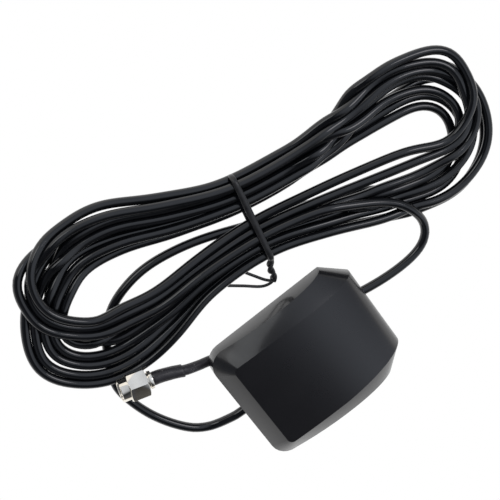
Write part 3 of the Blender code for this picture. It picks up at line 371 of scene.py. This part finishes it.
# A smooth curve through the points, in short steps; its spacing follows the square root of each gap.
def fairLine(points, steps=12):
    points = np.asarray(points, float)
    ends = np.vstack([2 * points[0] - points[1], points, 2 * points[-1] - points[-2]])
    out = []
    for i in range(len(points) - 1):
        a, b, c, d = ends[i:i + 4]
        gaps = [max(np.linalg.norm(q - p), 1e-6) for p, q in ((a, b), (b, c), (c, d))]
        t = np.cumsum([0.0] + [gap ** 0.5 for gap in gaps])
        u = np.linspace(t[1], t[2], steps, endpoint=False)[:, None]
        ab = (t[1] - u) / (t[1] - t[0]) * a + (u - t[0]) / (t[1] - t[0]) * b
        bc = (t[2] - u) / (t[2] - t[1]) * b + (u - t[1]) / (t[2] - t[1]) * c
        cd = (t[3] - u) / (t[3] - t[2]) * c + (u - t[2]) / (t[3] - t[2]) * d
        left = (t[2] - u) / (t[2] - t[0]) * ab + (u - t[0]) / (t[2] - t[0]) * bc
        right = (t[3] - u) / (t[3] - t[1]) * bc + (u - t[1]) / (t[3] - t[1]) * cd
        out.append((t[2] - u) / (t[2] - t[1]) * left + (u - t[1]) / (t[2] - t[1]) * right)
    return np.vstack(out + [points[-1:]])


def lineLength(points):
    return np.linalg.norm(np.diff(np.array(points), axis=0), axis=1).sum()


# The same line with its points at even distances.
def evenLine(points, step=None, count=None):
    along = np.r_[0.0, np.cumsum(np.linalg.norm(np.diff(points, axis=0), axis=1))]
    count = count or int(round(along[-1] / step)) + 1
    places = np.linspace(0.0, along[-1], count)
    return np.stack([np.interp(places, along, points[:, k]) for k in range(3)], 1)


# The lead as it lies, in millimetres: stretches of chosen points, and turns worked out between two edges.
lead = {
    "diameter": 2.8,  # jacket, outside
    "length": 3000.0,  # the real lead, from the housing to the plug
    "step": 2.8,  # distance between the points that are kept apart
    "rounds": 90,  # passes that push touching strands apart
    "stiffness": 0.35,  # share of each bend evened out in a pass
    "hold": 0.06,  # share of the way back to the chosen run in a pass
    "push": 0.55,  # share of an overlap that one push takes away, of two in a pass
    "apart": 1.005,  # diameters from one strand's centre to the next
    "skip": 5,  # points along the lead within which it can't touch itself
    "reach": 1.9,  # diameters within which other strands are looked for
    "sides": 5,  # roundness of the tube
}
housingRun = [
    (-25.3, -0.4, 4.46), (-27.4, -0.35, 4.36), (-29.5, -0.2, 3.75), (-32.3, 0.0, 2.6),
    (-35.4, 0.66, 1.8), (-38.15, 1.96, 1.42), (-40.9, 4.2, 1.42), (-43.55, 7.6, 1.42),
    (-46.1, 11.9, 1.42), (-48.1, 16.4, 1.42), (-49.55, 21.2, 1.42), (-50.4, 25.56, 1.42),
    (-50.8, 29.17, 1.42),
]
plugRun = [
    (24.95, 4.82, 1.42), (14.85, 7.27, 1.42), (4.85, 9.67, 1.42), (-4.65, 11.97, 1.42),
    (-9.65, 13.17, 1.42), (-14.65, 14.35, 1.42), (-18.4, 15.6, 1.48), (-22.0, 17.0, 1.65),
    (-24.6, 18.05, 2.0), (-27.3, 19.2, 3.0), (-30.03, 20.55, 4.1), (-32.0, 21.66, 4.78),
    (-33.4, 22.52, 5.02),
]
# from under the plug to the first turn, and from the last turn over the hank to the plug run
startRun = [
    (-48.9, 34.3, 1.4), (-46.0, 39.6, 1.4), (-42.3, 45.0, 1.4), (-37.5, 49.3, 1.4), (-31.0, 51.8, 1.4),
    (-23.0, 53.0, 1.4), (-14.0, 52.0, 1.4), (-5.4, 49.8, 1.4), (2.5, 46.8, 1.4),
]
endRun = [
    (10.2, 40.0, 6.4), (22.0, 37.2, 6.6), (31.6, 34.0, 7.0), (38.8, 29.6, 7.0), (45.5, 25.0, 6.4),
    (50.4, 19.6, 5.2), (52.6, 13.6, 3.6), (52.0, 8.0, 2.2), (49.0, 4.8, 1.5), (43.5, 3.5, 1.4),
    (36.5, 3.3, 1.4), (30.2, 3.9, 1.4),
]
hank = {
    # stations once round a turn, each the plan place of its innermost and of its outermost strand
    "stations": [
        ((10.0, 45.0), (10.0, 33.0)), ((28.0, 40.5), (28.0, 26.0)), ((45.0, 35.0), (45.0, 17.5)),
        ((62.0, 29.0), (67.4, 10.8)), ((70.0, 30.6), (82.8, 17.0)), ((74.4, 34.6), (88.8, 31.6)),
        ((71.0, 39.0), (84.6, 47.6)), ((64.4, 41.6), (70.2, 55.5)), ((45.0, 44.8), (44.0, 54.6)),
        ((28.0, 46.6), (28.0, 56.0)), ((10.0, 49.8), (10.0, 59.6)), ((-8.0, 54.5), (-8.0, 68.5)),
        ((-24.0, 60.5), (-24.0, 77.0)), ((-37.5, 63.0), (-40.5, 78.8)), ((-42.0, 61.3), (-52.0, 73.2)),
        ((-45.0, 57.2), (-60.0, 62.8)), ((-44.0, 52.6), (-63.0, 49.2)), ((-41.0, 49.8), (-55.6, 37.5)),
        ((-37.7, 49.3), (-44.0, 32.0)), ((-25.0, 46.0), (-26.5, 32.5)), ((-10.0, 45.5), (-12.0, 35.0)),
    ],
    # a turn's share of the way outwards is chosen at these stations, and its height at those
    "shareAt": [0, 3, 5, 6, 7, 9, 12, 14, 16, 18, 20, 21],
    "heightAt": [0, 3, 7, 9, 12, 14, 18, 21],
    # one row a turn: shares at eleven stations, and heights at the near run, right end, far run and left end
    "turns": [
        ([0.12, 0.56, 0.16, 0.10, 0.04, 0.05, 0.07, 0.03, 0.46, 0.30, 0.36], (1.4, 1.4, 1.4, 3.9)),
        ([0.40, 0.60, 0.70, 0.72, 0.70, 0.46, 0.58, 0.60, 0.94, 0.90, 0.90], (1.4, 3.9, 3.9, 3.9)),
        ([0.90, 0.96, 0.88, 0.66, 0.42, 0.16, 0.24, 0.23, 0.64, 0.59, 0.54], (1.4, 1.4, 3.9, 3.9)),
        ([0.68, 0.74, 0.40, 0.32, 0.26, 0.52, 0.50, 0.79, 1.08, 1.05, 0.99], (3.9, 1.4, 1.4, 3.9)),
        ([0.95, 0.89, 0.95, 0.92, 0.86, 0.28, 0.36, 0.43, 0.76, 0.75, 0.73], (3.9, 3.9, 1.4, 3.9)),
        ([0.62, 0.42, 0.42, 0.44, 0.44, 0.72, 0.70, 0.50, 0.30, 0.45, 0.45], (1.4, 3.9, 3.9, 3.9)),
        ([0.46, 0.29, 0.80, 0.82, 0.85, 0.82, 0.87, 0.90, 0.16, 0.08, 0.13], (3.9, 5.4, 6.4, 6.4)),
        ([0.24, 0.04, 0.70, 0.92, 0.98, 1.00, 1.05, 0.86, 0.04, -0.06, -0.04], (3.9, 6.4, 3.9, 7.4)),
        ([0.02, -0.22, 0.66, 1.20, 1.12, 0.78, 0.70, 1.12, 0.26, 0.22, 0.32], (3.9, 7.4, 1.4, 6.6)),
    ],
    "last": (0.42, 6.4),  # share and height where the lead leaves the last turn
}


# The turns one after another, each worked out from its row, station by station.
def hankRun():
    stations = np.array(hank["stations"])
    numbers = np.arange(len(stations))
    points = []
    following = [(shares[0], heights[0]) for shares, heights in hank["turns"][1:]] + [hank["last"]]
    for (shares, (near, right, far, left)), (share, height) in zip(hank["turns"], following):
        out = np.interp(numbers, hank["shareAt"], [*shares, share])[:, None]
        high = np.interp(numbers, hank["heightAt"], [near, right, right, far, far, left, left, height])
        plan = stations[:, 0] * (1 - out) + stations[:, 1] * out
        points += [(*place, z) for place, z in zip(plan, high)]
    return startRun + points + endRun


# Pushes strands that share room apart, evens out bends and keeps the lead above the floor.
def relaxLead(points):
    thick, step = lead["diameter"], lead["step"]
    run = evenLine(fairLine(points), step)
    count = len(run)
    home = run.copy()
    spans = [int(lineLength(part) / step) for part in (housingRun, plugRun)]
    held = np.r_[0:spans[0], count - spans[1]:count]
    for turn in range(lead["rounds"]):
        if turn % 4 == 0:
            far = ((run[:, None] - run[None]) ** 2).sum(2)
            first, second = np.nonzero(np.triu(far < (lead["reach"] * thick) ** 2, lead["skip"]))
        even = (-run[:-4] + 4 * run[1:-3] + 4 * run[3:-1] - run[4:]) / 6 - run[2:-2]
        run[2:-2] += lead["stiffness"] * even
        run += lead["hold"] * (home - run)
        for _ in range(2):
            gap = run[first] - run[second]
            dist = np.linalg.norm(gap, axis=1) + 1e-9
            push = np.clip(lead["apart"] * thick - dist, 0, None)
            part = (lead["push"] / 2 * push / dist)[:, None] * gap
            move = np.zeros_like(run)
            np.add.at(move, first, part)
            np.add.at(move, second, -part)
            run += move
            run[:, 2] = np.maximum(run[:, 2], thick / 2)
        run[held] = home[held]
        if turn % 10 == 9:
            run = evenLine(run, count=count)
    return run


def buildLead(made):
    run = relaxLead(np.array(housingRun + hankRun() + plugRun, float))
    fine = evenLine(fairLine(run, 3), lead["step"] / 2)
    curve = bpy.data.curves.new("lead", "CURVE")
    curve.dimensions = "3D"
    curve.bevel_depth = lead["diameter"] / 2 * mm
    curve.bevel_resolution = lead["sides"]
    curve.use_fill_caps = True
    spline = curve.splines.new("POLY")
    spline.points.add(len(fine) - 1)
    flat = np.hstack([fine * mm, np.ones((len(fine), 1))])
    spline.points.foreach_set("co", flat.ravel())
    spline.use_smooth = True
    obj = bpy.data.objects.new("lead", curve)
    bpy.context.scene.collection.objects.link(obj)
    curve.materials.append(made["cableJacket"])
    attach(obj, "antenna")
    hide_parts("housing_lead", "cable_hank", "plug_lead")
    far = ((run[:, None] - run[None]) ** 2).sum(2)
    near = np.sqrt(far[np.triu_indices(len(run), lead["skip"])].min())
    report(f"lead laid, {len(run)} points, {lineLength(run):.0f} mm, nearest strands {near:.2f} mm")
    return obj, run


# The plug's two sleeves: distances behind the nut's front rim and radii, in millimetres
plug = {
    "front": (-50.25, 29.57, 6.85), "axis": (0.9361, -0.3407, -0.0872),
    "boot": [
        (10.3, 1.7), (10.35, 2.02), (10.9, 2.12), (13.0, 2.08), (16.0, 2.03), (18.3, 2.0), (19.2, 2.03),
        (19.42, 1.98), (19.5, 1.8), (19.52, 1.6),
    ],
    "tail": [
        (18.6, 1.5), (18.9, 1.62), (21.0, 1.62), (24.0, 1.57), (27.0, 1.55), (30.0, 1.55), (33.0, 1.55),
        (33.3, 1.5), (33.32, 1.42),
    ],
    "droop": (11.8, 7.7, (0.0, -1.25, -0.36)),  # where the boot starts to sag, over what length, how far
    "sides": 40, "step": 0.35, "bootWrinkle": 0.012, "tailWrinkle": 0.010,
}


def plugFrame():
    axis = np.array(plug["axis"], float)
    axis /= np.linalg.norm(axis)
    level = np.cross((0.0, 0.0, 1.0), axis)
    level /= np.linalg.norm(level)
    return np.array(plug["front"], float), axis, level, np.cross(axis, level)


# A sleeve turned about a line of centres, with faint wrinkles; its name sets where they fall.
def revolved(name, profile, material, centres, wrinkle):
    front, axis, level, up = plugFrame()
    sides = plug["sides"]
    verts, faces = [], []
    phase = sum(map(ord, name))
    for k, (along, radius) in enumerate(profile):
        middle = centres(along)
        for j in range(sides):
            angle = 2 * math.pi * j / sides
            wave = math.sin(3 * angle + 0.9 * along + phase) + 0.7 * math.sin(5 * angle - 1.7 * along)
            out = math.cos(angle) * level + math.sin(angle) * up
            verts.append((middle + (radius + wrinkle * wave) * out) * mm)
    for k in range(len(profile) - 1):
        for j in range(sides):
            a, b = k * sides + j, k * sides + (j + 1) % sides
            faces.append((a, b, b + sides, a + sides))
    last = (len(profile) - 1) * sides
    faces.append(tuple(range(sides))[::-1])
    faces.append(tuple(range(last, last + sides)))
    return meshObject(name, verts, faces, material)


def denser(profile):
    out = []
    for (s0, r0), (s1, r1) in zip(profile, profile[1:]):
        count = max(1, int(math.hypot(s1 - s0, r1 - r0) / plug["step"]))
        out += [(s0 + (s1 - s0) * k / count, r0 + (r1 - r0) * k / count) for k in range(count)]
    return out + [profile[-1]]


def buildSleeves(made, run):
    front, axis, level, up = plugFrame()
    start, reach, sag = plug["droop"]

    def sagging(s):
        return front + axis * s + max((s - start) / reach, 0.0) ** 1.7 * np.array(sag)

    tailPoints = run[-40:]  # the last 112 mm, of which the sleeve covers a part
    tailAlong = (tailPoints - front) @ axis
    order = np.argsort(tailAlong)

    def onLead(s):
        return np.array([np.interp(s, tailAlong[order], tailPoints[order, k]) for k in range(3)])

    boot = revolved("bootSleeve", denser(plug["boot"]), made["shrinkSleeve"], sagging, plug["bootWrinkle"])
    tail = revolved("tailSleeve", denser(plug["tail"]), made["shrinkSleeve"], onLead, plug["tailWrinkle"])
    for obj, node in ((boot, "shrink_boot"), (tail, "shrink_tail")):
        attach(obj, "antenna")
        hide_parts(node)
        shadeSmooth(obj)
    report("sleeves made")
    return boot, tail


thread = {
    "pitch": 0.706, "crest": 2.72, "root": 2.97,  # millimetres
    "start": 0.35, "end": 5.6,  # behind the nut's front rim
    "half": (0.3163, 0.0593),  # half the ridge's width at the root and at the crest
    "sides": 36, "runOut": 10,  # steps to a turn, and steps over which the ridge rises at each end
}


# The nut's inside thread: one ridge that winds through the bore.
def buildThread(made):
    front, axis, level, up = plugFrame()
    verts, faces = [], []
    total = int((thread["end"] - thread["start"]) / thread["pitch"] * thread["sides"])
    wide, narrow = thread["half"]
    root, crest = thread["root"], thread["crest"]
    section = [(-wide, root), (-narrow, crest), (narrow, crest), (wide, root)]
    for k in range(total + 1):
        angle = 2 * math.pi * k / thread["sides"]
        fade = min(1.0, k / thread["runOut"], (total - k) / thread["runOut"])
        for shift, radius in section:
            along = thread["start"] + thread["pitch"] * k / thread["sides"] + shift
            out = root + (radius - root) * fade
            point = front + axis * along + out * (math.cos(angle) * level - math.sin(angle) * up)
            verts.append(point * mm)
    for k in range(total):
        for j in range(3):
            a = 4 * k + j
            faces.append((a, a + 1, a + 5, a + 4))
    obj = meshObject("nutThread", verts, faces, made["nickel"])
    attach(obj, "nut")
    return obj


# The tie: one coated wire bent round both bundles, its ends wound together and left as tails; millimetres
tie = {
    "near": (8.95, 33.77), "far": (14.05, 60.47),  # plan line along which it crosses the two bundles
    "width": 2.05, "thickness": 1.0, "narrow": 0.74,  # flattened strand, and its share of width at the sides
    "tops": [(0.8, 6.6), (25.2, 6.8)],  # how far along that line, and how high, it turns over on both sides
    "twist": [
        (8.95, 33.7, 6.2), (8.75, 32.4, 5.6), (7.1, 30.35, 4.5), (6.6, 27.3, 3.3), (5.75, 25.6, 2.3),
    ],
    "twistTurns": 1.75, "twistRadius": 0.56, "strand": (1.20, 1.05),
    "longTail": [
        (6.5, 26.6, 2.9), (6.1, 25.75, 2.2), (4.85, 25.15, 1.5), (3.2, 25.25, 1.0), (1.55, 26.0, 0.75),
        (-2.3, 29.4, 0.7), (-6.05, 32.6, 0.7),
    ],
    "shortTail": [
        (6.2, 25.9, 2.6), (5.35, 25.9, 2.5), (3.95, 27.1, 2.1), (2.1, 29.9, 1.5), (0.3, 32.9, 1.2),
    ],
    "tail": (1.00, 0.90),  # width and thickness, as of each strand above
    "sides": 20, "square": (0.85, 0.9),  # steps round a strand, and how square its section is (1 is round)
    "nearby": 1.3, "span": (-3.0, 34.0),  # how close to that line, and where along it, a strand is wrapped
    "clear": 0.1, "floorGap": 0.05,  # gap over the strands and under the loop
    "points": 121, "smoothing": 12,  # points of the loop, and passes that round it
    "turnDown": (-1.0, 28.0, 9.0),  # where along the line it is narrow, and the length of that change
}


# A rounded strip swept along a line; side gives the direction of its width at each point.
def stripAlong(name, line, side, width, thick, material, closed=False):
    line = np.asarray(line, float)
    count = len(line)
    width = np.broadcast_to(width, count)
    run = np.roll(line, -1, 0) - np.roll(line, 1, 0) if closed else np.gradient(line, axis=0)
    run /= np.linalg.norm(run, axis=1)[:, None]
    side = side - (side * run).sum(1)[:, None] * run
    side /= np.linalg.norm(side, axis=1)[:, None]
    face = np.cross(run, side)
    sides = tie["sides"]
    angle = 2 * math.pi * np.arange(sides) / sides
    wide, high = tie["square"]
    across = np.sign(np.cos(angle)) * np.abs(np.cos(angle)) ** wide / 2
    out = thick * np.sign(np.sin(angle)) * np.abs(np.sin(angle)) ** high / 2
    verts = []
    for k in range(count):
        verts += [(line[k] + a * width[k] * side[k] + o * face[k]) * mm for a, o in zip(across, out)]
    faces = []
    for k in range(count if closed else count - 1):
        here, ahead = k * sides, (k + 1) % count * sides
        for j in range(sides):
            beside = (j + 1) % sides
            faces.append((here + j, here + beside, ahead + beside, ahead + j))
    if not closed:
        last = (count - 1) * sides
        faces += [tuple(range(sides))[::-1], tuple(range(last, last + sides))]
    return meshObject(name, verts, faces, material)


def turnsLeft(a, b, c):
    return (b[0] - a[0]) * (c[1] - a[1]) > (b[1] - a[1]) * (c[0] - a[0])


# Corners of the outline that wraps flat points, counter-clockwise.
def hull(points):
    points = sorted(map(tuple, points))
    sides = []
    for row in (points, points[::-1]):
        part = []
        for p in row:
            while len(part) > 1 and not turnsLeft(part[-2], part[-1], p):
                part.pop()
            part.append(p)
        sides += part[:-1]
    return np.array(sides)


# The loop: pulled round the strands where they lie, narrower where it turns down on both sides.
def buildLoop(made, run):
    near, far = np.array(tie["near"]), np.array(tie["far"])
    across = (far - near) / np.linalg.norm(far - near)
    normal = np.array((across[1], -across[0]))
    along = (run[:, :2] - near) @ across
    offset = (run[:, :2] - near) @ normal
    low, high = tie["span"]
    inside = (np.abs(offset) < tie["nearby"]) & (along > low) & (along < high)
    middles = np.vstack([np.stack([along[inside], run[inside, 2]], 1), *tie["tops"]])
    reach = lead["diameter"] / 2 + tie["thickness"] / 2 + tie["clear"]
    angles = np.linspace(0, 2 * math.pi, 24)
    circle = reach * np.stack([np.cos(angles), np.sin(angles)], 1)
    outline = hull(np.vstack([middle + circle for middle in middles]))
    outline = np.vstack([outline, outline[:1]])
    outline = evenLine(np.hstack([outline, np.zeros((len(outline), 1))]), count=tie["points"])[:-1, :2]
    for _ in range(tie["smoothing"]):
        outline = (np.roll(outline, 1, 0) + 2 * outline + np.roll(outline, -1, 0)) / 4
    outline[:, 1] = np.maximum(outline[:, 1], tie["thickness"] / 2 + tie["floorGap"])
    first, last, change = tie["turnDown"]
    top = np.clip((outline[:, 0] - first) / change, 0, 1) * np.clip((last - outline[:, 0]) / change, 0, 1)
    width = tie["width"] * (tie["narrow"] + (1 - tie["narrow"]) * np.sqrt(top))
    line = np.array([(*(near + across * u), w) for u, w in outline])
    side = np.tile((*normal, 0.0), (len(line), 1))
    return stripAlong("tieBand", line, side, width, tie["thickness"], made["tieStrip"], closed=True)


# Two strands wound about each other along the chosen points.
def buildTwist(made):
    centre = evenLine(fairLine(tie["twist"]), count=90)
    run = np.gradient(centre, axis=0)
    run /= np.linalg.norm(run, axis=1)[:, None]
    base = np.cross(run, (0.0, 0.0, 1.0))
    base /= np.linalg.norm(base, axis=1)[:, None]
    other = np.cross(run, base)
    strands = []
    for number in range(2):
        turn = np.linspace(0, 2 * math.pi * tie["twistTurns"], len(centre)) + math.pi * number
        out = np.cos(turn)[:, None] * base + np.sin(turn)[:, None] * other
        line = centre + tie["twistRadius"] * out
        side = np.cross(run, out)
        strands.append(stripAlong(f"tieTwist{number}", line, side, *tie["strand"], made["tieStrip"]))
    return strands


def buildTails(made):
    tails = []
    for name, key in (("tieTailLong", "longTail"), ("tieTailShort", "shortTail")):
        line = evenLine(fairLine(tie[key]), 0.3)
        level = np.cross(np.gradient(line, axis=0), (0.0, 0.0, 1.0))
        side = 1.2 * level + np.array((0.0, 0.0, 0.6))
        tails.append(stripAlong(name, line, side, *tie["tail"], made["tieStrip"]))
    return tails


def buildTie(made, run):
    band = buildLoop(made, run)
    twists = buildTwist(made)
    tails = buildTails(made)
    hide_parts("tie_band")
    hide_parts("tie_twist")
    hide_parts("tie_tail_long")
    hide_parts("tie_tail_short")
    pieces = [band, *twists, *tails]
    for piece in pieces:
        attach(piece, "antenna")
    report("tie made")
    return pieces


# The stage, the lamps and the camera
stageLook = {
    "white": (0.90, 0.90, 0.90), "rough": 0.9,  # the paper
    "seen": 1.0,  # how bright the paper and the world look to the camera
    "half": 1.6, "below": 0.0002,  # the paper's half side, and its depth under the part, in metres
    "even": 0.75,  # light that reaches matt surfaces from all round
    "toward": (0.5, 0.0, 0.0), "aside": (0.0, -0.1, 0.0),  # the bright side, and how it fades to both hands
    # what shiny surfaces see: from the dark side (0) to the bright side (1), by height, and far behind
    "side": [
        (0.0, 0.22), (0.3, 0.06), (0.38, 0.03), (0.41, 0.07), (0.44, 0.26), (0.47, 0.44), (0.54, 0.7),
        (0.63, 0.85), (0.76, 0.68), (0.9, 0.42), (1.0, 0.36),
    ],
    "cool": (0.83, 0.89, 1.0), "warm": (1.0, 0.99, 0.97),  # tints of that side, and of the rest
    "height": [(0.0, 0.90), (0.06, 0.70), (0.16, 0.10), (1.0, 0.0)],
    "behind": [(0.0, 0.0), (0.77, 0.0), (0.84, 1.0), (1.0, 1.0)],
}


def buildStage():
    n = Nodes("paperWhite")
    n.finish(Base_Color=stageLook["white"], Roughness=stageLook["rough"])
    path = n.add("LightPath")
    either = n.maths("MAXIMUM", path.outputs["Is Camera Ray"], path.outputs["Is Glossy Ray"])
    either = n.maths("MAXIMUM", either, path.outputs["Is Transmission Ray"])
    glow = n.add("Emission", Color=(1.0, 1.0, 1.0), Strength=stageLook["seen"])
    mix = n.add("MixShader")
    n.feed(mix.inputs[0], either)
    n.feed(mix.inputs[1], n.shader.outputs[0])
    n.feed(mix.inputs[2], glow.outputs[0])
    n.feed(n.tree.nodes["Material Output"].inputs["Surface"], mix.outputs[0])
    half, level = stageLook["half"], -stageLook["below"]
    corners = [(-half, -half, level), (half, -half, level), (half, half, level), (-half, half, level)]
    floor = meshObject("floor", corners, [(0, 1, 2, 3)], n.material, False)


# The world: even light for matt surfaces, white to the camera, and a bright and a dark side for shiny ones.
def buildWorld():
    world = bpy.data.worlds.new("studio")
    bpy.context.scene.world = world
    world.use_nodes = True
    tree = world.node_tree
    even = tree.nodes["Background"]
    even.inputs["Color"].default_value = (1.0, 1.0, 1.0, 1.0)
    even.inputs["Strength"].default_value = stageLook["even"]

    def combine(operation, a, b):
        node = tree.nodes.new("ShaderNodeMath")
        node.operation = operation
        tree.links.new(a, node.inputs[0])
        if isinstance(b, float):
            node.inputs[1].default_value = b
        else:
            tree.links.new(b, node.inputs[1])
        return node.outputs[0]

    place = tree.nodes.new("ShaderNodeTexCoord").outputs["Generated"]
    split = tree.nodes.new("ShaderNodeSeparateXYZ")
    tree.links.new(place, split.inputs[0])
    middle = 0.5
    for name, source in (("toward", place), ("aside", None)):
        lean = tree.nodes.new("ShaderNodeVectorMath")
        lean.operation = "DOT_PRODUCT"
        if source is None:
            size = tree.nodes.new("ShaderNodeVectorMath")
            size.operation = "ABSOLUTE"
            tree.links.new(place, size.inputs[0])
            source = size.outputs[0]
        tree.links.new(source, lean.inputs[0])
        lean.inputs[1].default_value = stageLook[name]
        middle = combine("ADD", lean.outputs["Value"], middle)
    seen = None
    cool, warm = stageLook["cool"], stageLook["warm"]
    high, beyond = split.outputs["Z"], split.outputs["Y"]
    ramps = (("side", middle, cool), ("height", high, warm), ("behind", beyond, warm))
    for key, value, tint in ramps:
        ramp = tree.nodes.new("ShaderNodeValToRGB")
        tree.links.new(value, ramp.inputs[0])
        stops = ramp.color_ramp.elements
        while len(stops) < len(stageLook[key]):
            stops.new(0.5)
        for stop, (position, level) in zip(stops, stageLook[key]):
            stop.position = position
            stop.color = (*(level * part for part in tint), 1.0)
        if seen is None:
            seen = ramp.outputs[0]
            continue
        brighter = tree.nodes.new("ShaderNodeVectorMath")
        brighter.operation = "MAXIMUM"
        tree.links.new(seen, brighter.inputs[0])
        tree.links.new(ramp.outputs[0], brighter.inputs[1])
        seen = brighter.outputs[0]
    tent = tree.nodes.new("ShaderNodeBackground")
    tree.links.new(seen, tent.inputs["Color"])
    white = tree.nodes.new("ShaderNodeBackground")
    white.inputs["Color"].default_value = (1.0, 1.0, 1.0, 1.0)
    white.inputs["Strength"].default_value = stageLook["seen"]
    path = tree.nodes.new("ShaderNodeLightPath")
    last = even.outputs[0]
    for ray, level in (("Is Glossy Ray", tent), ("Is Camera Ray", white)):
        mix = tree.nodes.new("ShaderNodeMixShader")
        tree.links.new(path.outputs[ray], mix.inputs[0])
        tree.links.new(last, mix.inputs[1])
        tree.links.new(level.outputs[0], mix.inputs[2])
        last = mix.outputs[0]
    tree.links.new(last, tree.nodes["World Output"].inputs["Surface"])


# places and sizes in metres, power in watts; both look at one point over the part
aim = (0.0, 0.03, 0.0)
lamps = {
    "keyRight": {"at": (0.34, 0.10, 0.50), "size": 0.26, "power": 0.5, "colour": (1.0, 0.97, 1.0)},
    "fillFar": {"at": (-0.10, 0.55, 0.45), "size": 0.30, "power": 0.4, "colour": (0.95, 0.98, 1.0)},
}


def buildLamps():
    for name, look in lamps.items():
        light = bpy.data.lights.new(name, "AREA")
        light.shape = "DISK"
        light.size = look["size"]
        light.energy = look["power"]
        light.color = look["colour"]
        obj = bpy.data.objects.new(name, light)
        bpy.context.scene.collection.objects.link(obj)
        obj.location = look["at"]
        obj.rotation_euler = (Vector(aim) - Vector(look["at"])).to_track_quat("-Z", "Y").to_euler()


# The camera stands where the photograph was taken from: place in metres, and the axes of its picture
view = {
    "at": (-0.013892, 0.179413, 0.423175),
    "right": (0.78573, -0.57427, 0.22988), "up": (0.61701, 0.75399, -0.22539),
    "back": (-0.04389, 0.31894, 0.94676),
    "lens": 108.0, "width": 36.0, "pixels": 500,
}


def buildCamera():
    data = bpy.data.cameras.new("photoView")
    data.lens = view["lens"]
    data.sensor_width = view["width"]
    data.clip_start = 0.01
    camera = bpy.data.objects.new("photoView", data)
    bpy.context.scene.collection.objects.link(camera)
    columns = Matrix((view["right"], view["up"], view["back"])).transposed()
    camera.matrix_world = Matrix.Translation(view["at"]) @ columns.to_4x4()
    scene = bpy.context.scene
    scene.camera = camera
    scene.render.resolution_x = view["pixels"]
    scene.render.resolution_y = view["pixels"]
    scene.view_settings.view_transform = "Standard"


made = buildMaterials()
dressSolids(made)
leadObject, leadRun = buildLead(made)
sleeves = buildSleeves(made, leadRun)
buildThread(made)
tiePieces = buildTie(made, leadRun)
buildStage()
buildWorld()
buildLamps()
buildCamera()
report("stage, lamps and camera set")
